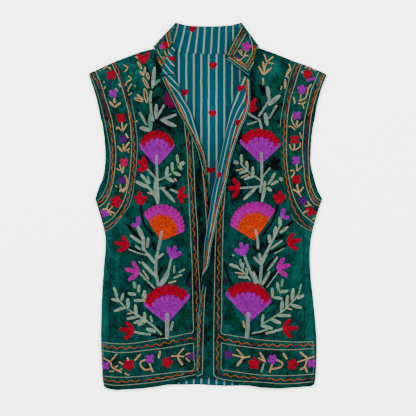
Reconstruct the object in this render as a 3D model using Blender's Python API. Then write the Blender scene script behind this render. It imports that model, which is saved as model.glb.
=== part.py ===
"""An embroidered velvet waistcoat, lying flat and face up on a table.

The back lies on the table, its striped lining faces up, and the two fronts lie over it. Each front's edge is
rolled outwards, so the striped lining and the turned-in velvet show along the opening, and the right front laps
over the left one below the roll. The stand collar is a band that turns back over itself at both sides of the neck.

Tables are in millimetres: across is +X, up is +Y from hem to collar, and height is +Z from the table.
"""
import math
from collections import namedtuple

import bmesh
import bpy
import numpy as np

MM = 0.001

# Cloth
VELVET = 1.5
LINING = 1.0
GAP = 0.3
LAYER_GAP = 0.4
SEAM_GAP = 0.8
LINING_OFFSET = VELVET / 2 + LAYER_GAP + LINING / 2

# Heights of the layers' middles above the table
BACK_HEIGHT = VELVET / 2
BACK_LINING_HEIGHT = VELVET + GAP + LINING / 2
FRONT_EDGE_HEIGHT = 3.95
FRONT_PUFF = 2.6
NECKLINE_HEIGHT = 6.4

# The rolled front edges
ROLL_RADIUS = 3.2
ROLL_REST = 3.2
STEEPEST_DROOP = math.radians(20)
FACING_WIDTH = 8.0
BACK_LINING_INSET = 1.5

# Mesh density
FLAT_SHARES = (0, 0.04, 0.1, 0.19, 0.29, 0.4, 0.5, 0.6, 0.69, 0.78, 0.86, 0.93, 1)
TUCKED_COLUMNS = 3
TURN_STEPS = 5
LINING_STEPS = TURN_STEPS + 1
FACING_STEPS = 5
ROWS_PER_SECTION = 2
FINE_ROWS = 4

# A front's section runs from the side to where the edge turns, seen from above. roll is how wide the rolled
# strip shows, turn is how far round the edge has rolled, and lie is the height of the cloth beside the roll.
Section = namedtuple("Section", "side_x side_y fold_x fold_y roll turn lie corner", defaults=(False,))

LEFT_SECTIONS = (
    Section(-192.5, -332.5, -0.5, -316.0, 0, 0, 4.2),
    Section(-195.0, -312.0, -0.5, -295.5, 0, 0, 4.2),
    Section(-197.5, -251.0, 0.5, -238.0, 0, 0, 4.2),
    Section(-197.0, -206.5, 0.5, -197.5, 0, 0, 4.2),
    Section(-195.5, -162.0, 1.0, -155.0, 0, 0, 4.2),
    Section(-192.5, -116.0, 2.0, -112.0, 0, 0, 4.2),
    Section(-189.0, -62.5, 2.5, -68.0, 0, 0, 4.2),
    Section(-196.5, -25.5, 3.5, -32.5, 0, 0, 4.3),
    Section(-208.0, 13.5, 4.0, 0.5, 0, 0, 4.6, True),
    Section(-199.5, 34.0, 2.0, 32.0, 3, 30, 5.0),
    Section(-192.5, 48.5, -2.0, 54.5, 3, 110, 5.4),
    Section(-189.0, 76.5, -6.5, 78.5, 5.5, 180, 5.6),
    Section(-189.0, 102.5, -11.5, 106.0, 8, 180, 5.8),
    Section(-192.5, 141.0, -21.5, 141.0, 14, 180, 6.0),
    Section(-198.5, 165.5, -32.0, 174.5, 22, 180, 6.2),
    Section(-205.0, 196.5, -45.5, 198.5, 20, 180, 6.4),
    Section(-213.0, 222.5, -55.0, 221.0, 22, 180, 6.4),
    Section(-220.0, 243.0, -63.0, 242.0, 24, 180, 6.4),
)
RIGHT_SECTIONS = (
    Section(197.5, -329.5, -21.0, -315.5, 9, 0, 8.0),
    Section(200.0, -310.0, -22.0, -295.5, 9, 0, 8.0),
    Section(201.5, -256.5, -21.5, -243.5, 9, 0, 8.0),
    Section(199.0, -214.0, -19.5, -210.5, 9, 0, 8.0),
    Section(194.5, -167.5, -15.0, -173.5, 9, 0, 8.2),
    Section(191.0, -136.5, -10.5, -143.5, 9, 45, 8.4),
    Section(189.0, -103.0, -8.0, -112.0, 9, 150, 8.8),
    Section(189.5, -73.5, -4.5, -77.0, 10.5, 180, 8.8),
    Section(194.0, -45.5, -0.5, -45.5, 13.5, 180, 8.4),
    Section(204.0, -8.5, 5.5, -7.0, 15.5, 180, 7.4),
    Section(211.5, 15.5, 9.5, 17.5, 18, 180, 6.6, True),
    Section(200.5, 34.0, 13.0, 36.0, 19.5, 180, 6.2),
    Section(196.0, 48.5, 16.5, 50.5, 20, 180, 6.0),
    Section(189.5, 80.0, 22.5, 78.5, 19, 180, 6.0),
    Section(189.5, 102.5, 27.5, 102.5, 20, 180, 6.0),
    Section(193.5, 141.0, 35.5, 141.0, 25, 180, 6.0),
    Section(198.0, 163.5, 41.0, 166.0, 30.5, 180, 6.0),
    Section(202.5, 189.5, 47.0, 191.0, 31, 180, 6.0),
    Section(210.5, 219.0, 56.5, 218.0, 22, 180, 6.0),
    Section(220.0, 242.0, 66.5, 245.0, 11, 180, 6.0),
)
LEFT_ROLL_STARTS, LEFT_MATERIAL, LEFT_FLAP_DROP = 10, 10.0, 0.0
RIGHT_ROLL_STARTS, RIGHT_MATERIAL, RIGHT_FLAP_DROP = 5, 16.0, 8.5

# Outlines, as (across, up)
LEFT_HEM = (
    (-192.5, -332.5), (-185.5, -337.0), (-169.0, -340.0), (-121.5, -337.0), (-88.5, -332.5),
    (-51.5, -325.5), (-21.5, -318.5), (-0.5, -316.0),
)
RIGHT_HEM = (
    (-21.0, -315.5), (-5.0, -315.5), (13.5, -318.0), (41.0, -325.0), (69.0, -330.5),
    (100.5, -335.5), (133.5, -337.0), (170.5, -334.5), (191.0, -333.0), (197.5, -329.5),
)
LEFT_SHOULDER_AND_NECK = (
    (-220.0, 243.0), (-217.5, 247.5), (-207.5, 251.5), (-175.0, 266.5), (-144.0, 278.5), (-121.5, 286.5),
    (-99.5, 292.0), (-96.0, 281.0), (-91.5, 263.5), (-83.0, 248.0), (-66.0, 242.0),
)
RIGHT_SHOULDER_AND_NECK = (
    (220.0, 242.0), (218.5, 245.5), (211.5, 248.5), (182.0, 261.0), (161.0, 268.0), (126.5, 282.0),
    (94.0, 293.5), (91.0, 278.0), (88.0, 265.0), (84.5, 253.0), (79.5, 246.0), (69.7, 245.0),
)
NECK_SHARE = 0.68
BACK_LEFT_SIDE = (
    (-191.5, -327.5), (-196.5, -251.0), (-194.0, -162.0), (-191.5, -116.0), (-188.0, -62.5), (-195.5, -25.5),
    (-208.5, 13.5), (-202.0, 34.0), (-194.5, 52.5), (-190.5, 76.5), (-190.0, 102.5), (-193.5, 141.0),
    (-204.0, 196.5), (-218.0, 241.0),
)
BACK_RIGHT_SIDE = (
    (196.5, -327.5), (200.5, -256.5), (193.0, -162.0), (188.0, -103.0), (189.0, -68.0), (193.5, -40.0),
    (212.0, 13.5), (202.5, 34.0), (197.0, 52.5), (191.0, 78.0), (191.0, 102.5), (194.0, 141.0),
    (205.0, 198.5), (218.0, 240.0),
)
BACK_HEM = (
    (-191.5, -327.5), (-162.5, -335.0), (-121.5, -334.0), (-79.0, -330.5), (-14.5, -330.0), (32.0, -332.5),
    (69.0, -332.0), (115.0, -334.0), (170.5, -331.5), (196.5, -327.5),
)
BACK_SHOULDERS_AND_NECK = (
    (-218.0, 241.0), (-206.0, 250.0), (-174.5, 264.5), (-144.0, 276.5), (-121.5, 285.0), (-101.0, 290.5),
    (-81.0, 288.0), (-64.5, 287.0), (-33.0, 285.0), (0.5, 284.0), (34.0, 284.0), (65.0, 286.5), (80.0, 288.5),
    (93.5, 290.5), (126.5, 280.0), (161.5, 266.5), (182.0, 259.5), (210.5, 247.5), (218.0, 240.0),
)
BACK_NECK_SHARES = (0, 0.05, 0.13, 0.21, 0.285, 0.36, 0.43, 0.5, 0.57, 0.64, 0.715, 0.79, 0.87, 0.95, 1)

# The collar band, from its left end round the back of the neck to its right end
Rib = namedtuple("Rib", "where seam_x seam_y seam_z top_x top_y top_z")
COLLAR_RIBS = (
    Rib("left end", -87.0, 243.5, 9.8, -68.5, 292.0, 15.3),
    Rib("left return", -77.0, 243.2, 11.4, -67.2, 293.0, 15.8),
    Rib("left turn, top", -67.0, 244.0, 12.8, -65.2, 294.0, 15.8),
    Rib("left turn", -63.2, 244.5, 9.6, -62.0, 295.0, 13.5),
    Rib("left turn, under", -67.0, 245.0, 6.4, -65.0, 297.0, 11.0),
    Rib("left neck, low", -81.5, 250.5, 6.4, -64.5, 304.0, 10.8),
    Rib("left neck, middle", -90.0, 265.0, 6.4, -63.0, 316.0, 10.8),
    Rib("left neck, high", -95.0, 282.5, 6.4, -60.0, 329.0, 10.2),
    Rib("left side, over", -98.3, 291.5, 6.2, -58.6, 335.5, 8.8),
    Rib("left side", -100.5, 295.3, 3.8, -59.0, 339.5, 5.2),
    Rib("left side, under", -97.0, 293.0, 1.4, -55.5, 339.5, 1.8),
    Rib("back", -81.0, 289.5, 0.9, -44.0, 336.5, 0.9),
    Rib("back", -64.5, 288.0, 0.9, -33.0, 334.5, 0.9),
    Rib("back", -33.0, 286.0, 0.9, -10.5, 333.5, 0.9),
    Rib("back, middle", 0.5, 285.0, 0.9, 8.0, 333.5, 0.9),
    Rib("back", 34.0, 285.0, 0.9, 26.5, 334.0, 0.9),
    Rib("back", 65.0, 287.5, 0.9, 43.0, 335.5, 0.9),
    Rib("back", 78.0, 289.5, 0.9, 52.0, 337.5, 0.9),
    Rib("right side, under", 91.0, 293.0, 1.4, 59.0, 339.5, 1.8),
    Rib("right side", 94.5, 296.0, 3.8, 62.5, 339.5, 5.2),
    Rib("right side, over", 92.5, 291.5, 6.2, 61.5, 334.5, 8.8),
    Rib("right neck, high", 89.0, 279.5, 6.4, 56.5, 322.5, 10.6),
    Rib("right neck, middle", 85.0, 266.0, 7.4, 46.5, 306.0, 12.0),
    Rib("right neck, low", 80.8, 253.5, 10.4, 38.5, 289.0, 12.6),
    Rib("right end", 76.5, 240.0, 12.4, 31.0, 275.0, 12.4),
)
COLLAR_SHARES = tuple(step / 5 for step in range(6))
STEPS_PER_RIB = 2

# The largest soft folds, as bell shapes on the fronts: half lengths and widths, and how far each leans
Fold = namedtuple("Fold", "across up half_length half_width lean_deg height")
FOLDS = (
    Fold(-150, -60, 70, 16, 12, 1.4),
    Fold(-120, 60, 60, 14, -28, 1.2),
    Fold(-60, -150, 90, 15, 6, 1.3),
    Fold(-165, -190, 80, 14, -4, -1.2),
    Fold(-100, 190, 50, 14, -20, 1.1),
    Fold(140, -50, 70, 16, -14, 1.4),
    Fold(110, 80, 60, 14, 26, 1.2),
    Fold(70, -160, 90, 15, -5, 1.3),
    Fold(172, -180, 80, 14, 5, -1.2),
    Fold(120, 190, 50, 14, 22, 1.1),
)

VELVET_GREEN = (0.0, 0.085, 0.058, 1)
COTTON_TEAL = (0.0, 0.12, 0.16, 1)


def clear_scene():
    for old in list(bpy.data.objects):
        bpy.data.objects.remove(old)


def smoothstep(value):
    value = min(max(value, 0.0), 1.0)
    return value * value * (3 - 2 * value)


def smooth_rows(rows, corners, steps):
    """Rows of numbers with steps - 1 more between each two, on a curve that bends sharply only at the corners."""
    rows = np.array(rows, float)
    last = len(rows) - 1
    result = []
    for i in range(last):
        here, there = rows[i], rows[i + 1]
        leave = there - here if i == 0 or i in corners else (there - rows[i - 1]) / 2
        reach = there - here if i + 1 == last or i + 1 in corners else (rows[i + 2] - here) / 2
        for step in range(steps):
            t = step / steps
            result.append(
                (2 * t**3 - 3 * t**2 + 1) * here
                + (t**3 - 2 * t**2 + t) * leave
                + (3 * t**2 - 2 * t**3) * there
                + (t**3 - t**2) * reach
            )
    result.append(rows[last])
    return np.array(result)


def along(points, share):
    """The point at this share of a polyline's length."""
    points = np.array(points, float)
    run = np.concatenate([[0], np.cumsum(np.linalg.norm(np.diff(points, axis=0), axis=1))])
    return np.array([np.interp(share * run[-1], run, points[:, axis]) for axis in (0, 1)])


def fold_height(across, up):
    total = 0.0
    for fold in FOLDS:
        lean = math.radians(fold.lean_deg)
        dx, dy = across - fold.across, up - fold.up
        over = (dx * math.cos(lean) + dy * math.sin(lean)) / fold.half_width
        on = (dy * math.cos(lean) - dx * math.sin(lean)) / fold.half_length
        total += fold.height * math.exp(-over * over - on * on)
    return total


class Front:
    """One front, as a surface over share (0 at the side, 1 where the edge turns, 2 at the free edge) and row."""

    def __init__(self, sections, hem, shoulder_and_neck, flat_material, flap_drop, toward):
        self.toward = toward
        self.flap_drop = flap_drop
        self.hem = sorted(hem)
        self.shoulder_and_neck = shoulder_and_neck
        rows = []
        for section in sections:
            turn = math.radians(section.turn)
            if section.turn == 180:
                material = section.roll - ROLL_RADIUS + math.pi * ROLL_RADIUS
                reach = ROLL_RADIUS
            else:
                material = flat_material
                radius = material / turn if turn else 0
                reach = radius * math.sin(min(turn, math.pi / 2)) if turn else material
            bend_x = section.fold_x - toward * reach
            rows.append((section.side_x, section.side_y, bend_x, section.fold_y, material, turn, section.lie))
        corners = {number for number, section in enumerate(sections) if section.corner}
        self.rows = smooth_rows(rows, corners, FINE_ROWS)
        self.last = len(self.rows) - 1

    def flat_point(self, row, share):
        side_x, side_y, bend_x, bend_y = self.rows[row][:4]
        x = side_x + (bend_x - side_x) * share
        y = side_y + (bend_y - side_y) * share
        part = row / self.last
        if share <= 1:
            top = self.rows[self.last]
            straight = np.array([top[0] + (top[2] - top[0]) * share, top[1] + (top[3] - top[1]) * share])
            bulge = along(self.shoulder_and_neck, share) - straight
            weight = smoothstep((part - 0.55) / 0.45) ** 1.5
            x += weight * bulge[0]
            y += weight * bulge[1]
        return x, y + self.hem_drop(row, x)

    def hem_drop(self, row, x):
        hem_row = self.rows[0]
        slope = (hem_row[3] - hem_row[1]) / (hem_row[2] - hem_row[0])
        straight = hem_row[1] + slope * (x - hem_row[0])
        hem_y = np.interp(x, [point[0] for point in self.hem], [point[1] for point in self.hem])
        return (hem_y - straight) * (1 - smoothstep(row / self.last / 0.3))

    def height(self, row, share, x, y):
        part = row / self.last
        lie = self.rows[row][6]
        over = FRONT_EDGE_HEIGHT + (lie - FRONT_EDGE_HEIGHT) * smoothstep(share)
        beside = (1 - math.exp(-share / 0.06)) * smoothstep((1 - share) / 0.45)
        between = (1 - math.exp(-part / 0.03)) * (1 - math.exp((part - 1) / 0.03))
        over += (FRONT_PUFF + fold_height(x, y)) * beside * between
        top = FRONT_EDGE_HEIGHT + (NECKLINE_HEIGHT - FRONT_EDGE_HEIGHT) * smoothstep(
            (share - NECK_SHARE + 0.06) / 0.1
        )
        return max(over + (top - over) * smoothstep((part - 0.93) / 0.07), FRONT_EDGE_HEIGHT)

    def point(self, row, share):
        """A point on the middle of the velvet."""
        if share <= 1:
            x, y = self.flat_point(row, share)
            return np.array([x, y, self.height(row, share, x, y)])
        side_x, side_y, bend_x, bend_y, material, turn, lie = self.rows[row]
        start = self.point(row, 1)
        way = np.array([bend_x - side_x, bend_y - side_y])
        way /= np.linalg.norm(way)
        gone = (share - 1) * material
        if turn < 0.02:
            forward, up = gone, 0.0
        else:
            radius = material / turn
            radius += (ROLL_RADIUS - radius) * smoothstep((turn / math.pi - 0.5) * 2)
            arc = min(radius * turn, material)
            bent = min(gone, arc) / radius
            forward, up = radius * math.sin(bent), radius * (1 - math.cos(bent))
            rest = material - arc
            if gone > arc and rest > 0:
                drop = max(radius * (1 - math.cos(turn)) - ROLL_REST, 0)
                droop = min(STEEPEST_DROOP, math.atan2(drop, rest)) * smoothstep((turn / math.pi - 0.5) * 2)
                forward += (gone - arc) * math.cos(turn + droop)
                up += (gone - arc) * math.sin(turn + droop)
        x, y = start[:2] + forward * way
        if turn < 0.02:
            y += self.hem_drop(row, x) - self.hem_drop(row, start[0])
        y -= self.flap_drop * (share - 1) * smoothstep((row / self.last - 0.94) / 0.06)
        return np.array([x, y, start[2] + up])


def facing_out(grid):
    """Unit normals of a grid of points, towards the side on which its columns and rows turn anticlockwise."""

    def ways(axis):
        steps = np.diff(grid, axis=axis)
        steps /= np.linalg.norm(steps, axis=2, keepdims=True)
        first, last = np.take(steps, [0], axis=axis), np.take(steps, [-1], axis=axis)
        return np.concatenate([first, steps], axis=axis) + np.concatenate([steps, last], axis=axis)

    out = np.cross(ways(1), ways(0))
    return out / np.linalg.norm(out, axis=2, keepdims=True)


def sheet(name, grid, thickness, material):
    """A wall of even thickness whose middle is this grid of points."""
    rows, columns = grid.shape[:2]
    mesh = bpy.data.meshes.new(name)
    cloth = bmesh.new()
    bmesh.ops.create_grid(cloth, x_segments=columns - 1, y_segments=rows - 1, size=1)
    cloth.verts.ensure_lookup_table()
    places = sorted(cloth.verts, key=lambda vert: (round(vert.co.y, 4), round(vert.co.x, 4)))
    for vert, place in zip(places, grid.reshape(-1, 3)):
        vert.co = place * MM
    bmesh.ops.triangulate(cloth, faces=cloth.faces[:], quad_method="FIXED")
    cloth.to_mesh(mesh)
    cloth.free()
    piece = bpy.data.objects.new(name, mesh)
    piece.data.materials.append(material)
    bpy.context.scene.collection.objects.link(piece)
    solid = piece.modifiers.new("Thickness", "SOLIDIFY")
    solid.thickness = thickness * MM
    solid.offset = 0
    return piece


def cloth_material(name, color, roughness):
    material = bpy.data.materials.new(name)
    material.use_nodes = True
    shader = material.node_tree.nodes["Principled BSDF"]
    shader.inputs["Base Color"].default_value = color
    shader.inputs["Roughness"].default_value = roughness
    shader.inputs["Metallic"].default_value = 0
    return material


def steps_between(start, end, count):
    """count even steps from start to end, without start."""
    return [start + (end - start) * step / count for step in range(1, count + 1)]


def shorten(grid, column, beside, amount):
    """Draws one outer column back along the sheet, away from the column beside it being passed."""
    way = grid[:, beside] - grid[:, column]
    grid[:, column] += way * amount / np.linalg.norm(way, axis=1, keepdims=True)


def make_front(side, front, roll_starts, velvet, cotton):
    """The velvet, its lining and its facing share their columns, so they stay parallel all round the roll."""
    shares_of_row = []
    rows = range(0, front.last + 1, FINE_ROWS // ROWS_PER_SECTION)
    for row in rows:
        material = front.rows[row][4]
        seam = 2 - FACING_WIDTH / material
        around = min((seam - 1) / LINING_STEPS, math.pi * ROLL_RADIUS / material / TURN_STEPS)
        turning = [1 + around * step for step in range(1, LINING_STEPS)] + [seam]
        shares_of_row.append(list(FLAT_SHARES) + turning + steps_between(seam, 2, FACING_STEPS))
    middle = np.array([[front.point(row, share) for share in shares] for row, shares in zip(rows, shares_of_row)])
    first, bend = roll_starts * ROWS_PER_SECTION, len(FLAT_SHARES) - 1
    seam = bend + LINING_STEPS
    out = front.toward * facing_out(middle)
    out[:, : bend + 1] = (0, 0, 1)
    under = middle - LINING_OFFSET * out

    lining = under[first:, bend - TUCKED_COLUMNS + 1 : seam + 1].copy()
    shorten(lining, -1, -2, SEAM_GAP / 2)
    facing = under[first:, seam:].copy()
    shorten(facing, 0, 1, SEAM_GAP / 2)
    flip = slice(None, None, front.toward)
    sheet(f"front_{side}_velvet", middle[:, flip], VELVET, velvet)
    sheet(f"front_{side}_lining", lining[:, flip], LINING, cotton)
    sheet(f"front_{side}_facing", facing[:, flip], LINING, velvet)


def back_grid(height, inset):
    """Flat rows between the back's two sides, bent at the bottom to the hem and at the top to the neck."""
    left, right = np.array(BACK_LEFT_SIDE), np.array(BACK_RIGHT_SIDE)
    last = len(left) - 1
    grid = []
    for row in range(last + 1):
        part = row / last
        to_hem = 1 - smoothstep(part / 0.25)
        to_neck = smoothstep((part - 0.6) / 0.4) ** 1.5
        points = []
        for share in BACK_NECK_SHARES:
            place = left[row] + (right[row] - left[row]) * share
            hem = along(BACK_HEM, share) - (left[0] + (right[0] - left[0]) * share)
            neck = along(BACK_SHOULDERS_AND_NECK, share) - (left[last] + (right[last] - left[last]) * share)
            x, y = place + to_hem * hem + to_neck * neck
            x -= inset * (2 * share - 1)
            y -= inset * (2 * part - 1)
            points.append((x, y, height))
        grid.append(points)
    return np.array(grid)


def make_back(velvet, cotton):
    sheet("back_velvet", back_grid(BACK_HEIGHT, 0), VELVET, velvet)
    sheet("back_lining", back_grid(BACK_LINING_HEIGHT, BACK_LINING_INSET), LINING, cotton)


def make_collar(velvet, cotton):
    ribs = smooth_rows([rib[1:] for rib in COLLAR_RIBS], set(), STEPS_PER_RIB)
    middle = np.array([[rib[:3] + (rib[3:] - rib[:3]) * share for share in COLLAR_SHARES] for rib in ribs])
    sheet("collar_velvet", middle, VELVET, velvet)
    sheet("collar_lining", middle - LINING_OFFSET * facing_out(middle), LINING, cotton)


def centre_on_table():
    """Moves every piece so that the middle of the whole lies over the origin and the back touches the table."""
    bpy.context.view_layer.update()
    pieces = [piece for piece in bpy.context.scene.objects if piece.type == "MESH"]
    graph = bpy.context.evaluated_depsgraph_get()
    corners = []
    for piece in pieces:
        shown = piece.evaluated_get(graph)
        corners += [vert.co[:] for vert in shown.to_mesh().vertices]
        shown.to_mesh_clear()
    low, high = np.min(corners, axis=0), np.max(corners, axis=0)
    shift = np.array([(low[0] + high[0]) / 2, (low[1] + high[1]) / 2, low[2]])
    for piece in pieces:
        for vert in piece.data.vertices:
            vert.co = np.array(vert.co) - shift
    print("moved by", [round(float(value) / MM, 3) for value in -shift], "mm, size", (high - low).round(4))


def main():
    clear_scene()
    velvet = cloth_material("velvet", VELVET_GREEN, 0.75)
    cotton = cloth_material("striped_cotton", COTTON_TEAL, 0.85)
    left = Front(LEFT_SECTIONS, LEFT_HEM, LEFT_SHOULDER_AND_NECK, LEFT_MATERIAL, LEFT_FLAP_DROP, 1)
    right = Front(RIGHT_SECTIONS, RIGHT_HEM, RIGHT_SHOULDER_AND_NECK, RIGHT_MATERIAL, RIGHT_FLAP_DROP, -1)
    make_back(velvet, cotton)
    make_front("left", left, LEFT_ROLL_STARTS, velvet, cotton)
    make_front("right", right, RIGHT_ROLL_STARTS, velvet, cotton)
    make_collar(velvet, cotton)
    centre_on_table()


main()
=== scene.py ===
"""An embroidered velvet waistcoat, lying flat and face up on a table.

Each piece of cloth is a thin wall, and every line, petal and leaf of the embroidery is rows of chain stitch that
lie on it. Tables are in millimetres, with across as +X, up from hem to collar as +Y, and height as +Z.
"""
import functools
import math
from collections import namedtuple

import bmesh
import bpy
import numpy as np
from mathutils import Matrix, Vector
from mathutils.bvhtree import BVHTree


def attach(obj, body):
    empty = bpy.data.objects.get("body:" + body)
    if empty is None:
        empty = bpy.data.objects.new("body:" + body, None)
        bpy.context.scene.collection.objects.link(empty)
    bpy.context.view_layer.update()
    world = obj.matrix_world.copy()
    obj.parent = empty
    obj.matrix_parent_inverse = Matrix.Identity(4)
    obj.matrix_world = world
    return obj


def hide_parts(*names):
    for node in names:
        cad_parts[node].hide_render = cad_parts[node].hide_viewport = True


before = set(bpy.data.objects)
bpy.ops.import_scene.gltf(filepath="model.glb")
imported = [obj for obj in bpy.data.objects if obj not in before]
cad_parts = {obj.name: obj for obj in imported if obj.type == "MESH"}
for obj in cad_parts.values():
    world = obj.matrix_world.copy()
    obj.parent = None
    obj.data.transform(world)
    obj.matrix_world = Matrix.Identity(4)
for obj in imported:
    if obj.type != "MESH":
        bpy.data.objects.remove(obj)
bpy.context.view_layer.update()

bl_info = {
    "name": "Embroidered waistcoat",
    "version": (1, 0, 0),
    "blender": (4, 5, 0),
    "location": "View3D > Sidebar > Waistcoat",
    "description": "Builds a flat-laid velvet waistcoat with chain-stitch embroidery",
    "category": "Add Mesh",
}

MM = 0.001
PLACED = (0.008, 0.446, 0)

# Cloth
VELVET = 1.5
LINING = 1.0
GAP = 0.3
LAYER_GAP = 0.4
LINING_OFFSET = VELVET / 2 + LAYER_GAP + LINING / 2
BACK_HEIGHT = VELVET / 2
BACK_LINING_HEIGHT = VELVET + GAP + LINING / 2
# A front lies at its edge height, puffs up between its edges, and rises at the top to the neckline
FRONT_EDGE_HEIGHT = 3.95
FRONT_PUFF = 2.6
NECKLINE_HEIGHT = 6.4
# Shares of a front's width and height over which it rises from its side, falls to the roll, and rises at its ends
SIDE_RISE, ROLL_FALL, END_RISE = 0.06, 0.45, 0.03
# Bends of the outlines, as shares of the height: where each starts, and over how much it grows
HEM_BEND, BACK_HEM_BEND = (0, 0.3), (0, 0.25)
NECK_BEND, BACK_NECK_BEND, NECK_BEND_POWER = (0.55, 0.45), (0.6, 0.4), 1.5
TOP_BEND, FLAP_BEND = (0.93, 0.07), (0.94, 0.06)

# The rolled front edges
ROLL_RADIUS = 3.2
ROLL_REST = 3.2
STEEPEST_DROOP = math.radians(20)
# An edge that turns less than this, in radians, lies straight
STRAIGHT = 0.02
FACING_WIDTH = 8.0
# The lining and the facing each stop this share of a column short of their seam
SEAM_SHARE = 0.3
BACK_LINING_INSET = 1.5

# Mesh density
FLAT_COLUMNS = 72
TURN_COLUMNS = 20
FACING_COLUMNS = 8
BACK_COLUMNS = 72
BACK_ROWS_PER_SECTION = 8
COLLAR_COLUMNS = 24
STEPS_PER_RIB = 8
FINE_ROWS = 8
TUCK_SHARE = 0.9
FOLD_REACH, FOLD_STEP = 400.0, 2.0
EDGE_ROUND, EDGE_STEPS, SHARP_EDGE = 0.35, 2, math.radians(60)

# A front's section runs from the side to where the edge turns, seen from above. roll is how wide the rolled
# strip shows, turn is how far round the edge has rolled, and lie is the height of the cloth beside the roll.
Section = namedtuple("Section", "side_x side_y fold_x fold_y roll turn lie corner", defaults=(False,))

LEFT_SECTIONS = [Section(*row) for row in (
    (-192.5, -332.5, -0.5, -316, 0, 0, 4.2),
    (-195, -312, -0.5, -295.5, 0, 0, 4.2),
    (-197.5, -251, 0.5, -238, 0, 0, 4.2),
    (-197, -206.5, 0.5, -197.5, 0, 0, 4.2),
    (-195.5, -162, 1, -155, 0, 0, 4.2),
    (-192.5, -116, 2, -112, 0, 0, 4.2),
    (-189, -62.5, 2.5, -68, 0, 0, 4.2),
    (-196.5, -25.5, 3.5, -32.5, 0, 0, 4.3),
    (-208, 13.5, 4, 0.5, 0, 0, 4.6, True),
    (-199.5, 34, 2, 32, 3, 30, 5),
    (-192.5, 48.5, -2, 54.5, 3, 110, 5.4),
    (-189, 76.5, -6.5, 78.5, 5.5, 180, 5.6),
    (-189, 102.5, -11.5, 106, 8, 180, 5.8),
    (-192.5, 141, -21.5, 141, 14, 180, 6),
    (-198.5, 165.5, -32, 174.5, 22, 180, 6.2),
    (-205, 196.5, -45.5, 198.5, 20, 180, 6.4),
    (-213, 222.5, -55, 221, 22, 180, 6.4),
    (-220, 243, -63, 242, 24, 180, 6.4),
)]
RIGHT_SECTIONS = [Section(*row) for row in (
    (197.5, -329.5, -21, -315.5, 9, 0, 8),
    (200, -310, -22, -295.5, 9, 0, 8),
    (201.5, -256.5, -21.5, -243.5, 9, 0, 8),
    (199, -214, -19.5, -210.5, 9, 0, 8),
    (194.5, -167.5, -15, -173.5, 9, 0, 8.2),
    (191, -136.5, -10.5, -143.5, 9, 45, 8.4),
    (189, -103, -8, -112, 9, 150, 8.8),
    (189.5, -73.5, -4.5, -77, 10.5, 180, 8.8),
    (194, -45.5, -0.5, -45.5, 13.5, 180, 8.4),
    (204, -8.5, 5.5, -7, 15.5, 180, 7.4),
    (211.5, 15.5, 9.5, 17.5, 18, 180, 6.6, True),
    (200.5, 34, 13, 36, 19.5, 180, 6.2),
    (196, 48.5, 16.5, 50.5, 20, 180, 6),
    (189.5, 80, 22.5, 78.5, 19, 180, 6),
    (189.5, 102.5, 27.5, 102.5, 20, 180, 6),
    (193.5, 141, 35.5, 141, 25, 180, 6),
    (198, 163.5, 41, 166, 30.5, 180, 6),
    (202.5, 189.5, 47, 191, 31, 180, 6),
    (210.5, 219, 56.5, 218, 22, 180, 6),
    (220, 242, 66.5, 245, 11, 180, 6),
)]
LEFT_ROLL_STARTS, LEFT_MATERIAL, LEFT_FLAP_DROP = 10, 10, 0
RIGHT_ROLL_STARTS, RIGHT_MATERIAL, RIGHT_FLAP_DROP = 5, 16, 8.5

# Outlines, as (across, up)
LEFT_HEM = (
    (-192.5, -332.5), (-185.5, -337), (-169, -340), (-121.5, -337), (-88.5, -332.5),
    (-51.5, -325.5), (-21.5, -318.5), (-0.5, -316),
)
RIGHT_HEM = (
    (-21, -315.5), (-5, -315.5), (13.5, -318), (41, -325), (69, -330.5),
    (100.5, -335.5), (133.5, -337), (170.5, -334.5), (191, -333), (197.5, -329.5),
)
LEFT_SHOULDER_AND_NECK = (
    (-220, 243), (-217.5, 247.5), (-207.5, 251.5), (-175, 266.5), (-144, 278.5), (-121.5, 286.5),
    (-99.5, 292), (-96, 281), (-91.5, 263.5), (-83, 248), (-66, 242),
)
RIGHT_SHOULDER_AND_NECK = (
    (220, 242), (218.5, 245.5), (211.5, 248.5), (182, 261), (161, 268), (126.5, 282),
    (94, 293.5), (91, 278), (88, 265), (84.5, 253), (79.5, 246), (69.7, 245),
)
# Where the shoulder ends and the neck starts, as a share of the width, and how the neckline rises there
NECK_SHARE, NECK_LEAD, NECK_RISE = 0.68, 0.06, 0.1
# The point of the back's sides that is a corner, below the armhole
UNDERARM = 6
BACK_LEFT_SIDE = (
    (-191.5, -327.5), (-196.5, -251), (-194, -162), (-191.5, -116), (-188, -62.5), (-195.5, -25.5),
    (-208.5, 13.5), (-202, 34), (-194.5, 52.5), (-190.5, 76.5), (-190, 102.5), (-193.5, 141),
    (-204, 196.5), (-218, 241),
)
BACK_RIGHT_SIDE = (
    (196.5, -327.5), (200.5, -256.5), (193, -162), (188, -103), (189, -68), (193.5, -40),
    (212, 13.5), (202.5, 34), (197, 52.5), (191, 78), (191, 102.5), (194, 141),
    (205, 198.5), (218, 240),
)
BACK_HEM = (
    (-191.5, -327.5), (-162.5, -335), (-121.5, -334), (-79, -330.5), (-14.5, -330), (32, -332.5),
    (69, -332), (115, -334), (170.5, -331.5), (196.5, -327.5),
)
BACK_SHOULDERS_AND_NECK = (
    (-218, 241), (-206, 250), (-174.5, 264.5), (-144, 276.5), (-121.5, 285), (-101, 290.5),
    (-81, 288), (-64.5, 287), (-33, 285), (0.5, 284), (34, 284), (65, 286.5), (80, 288.5),
    (93.5, 290.5), (126.5, 280), (161.5, 266.5), (182, 259.5), (210.5, 247.5), (218, 240),
)

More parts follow.
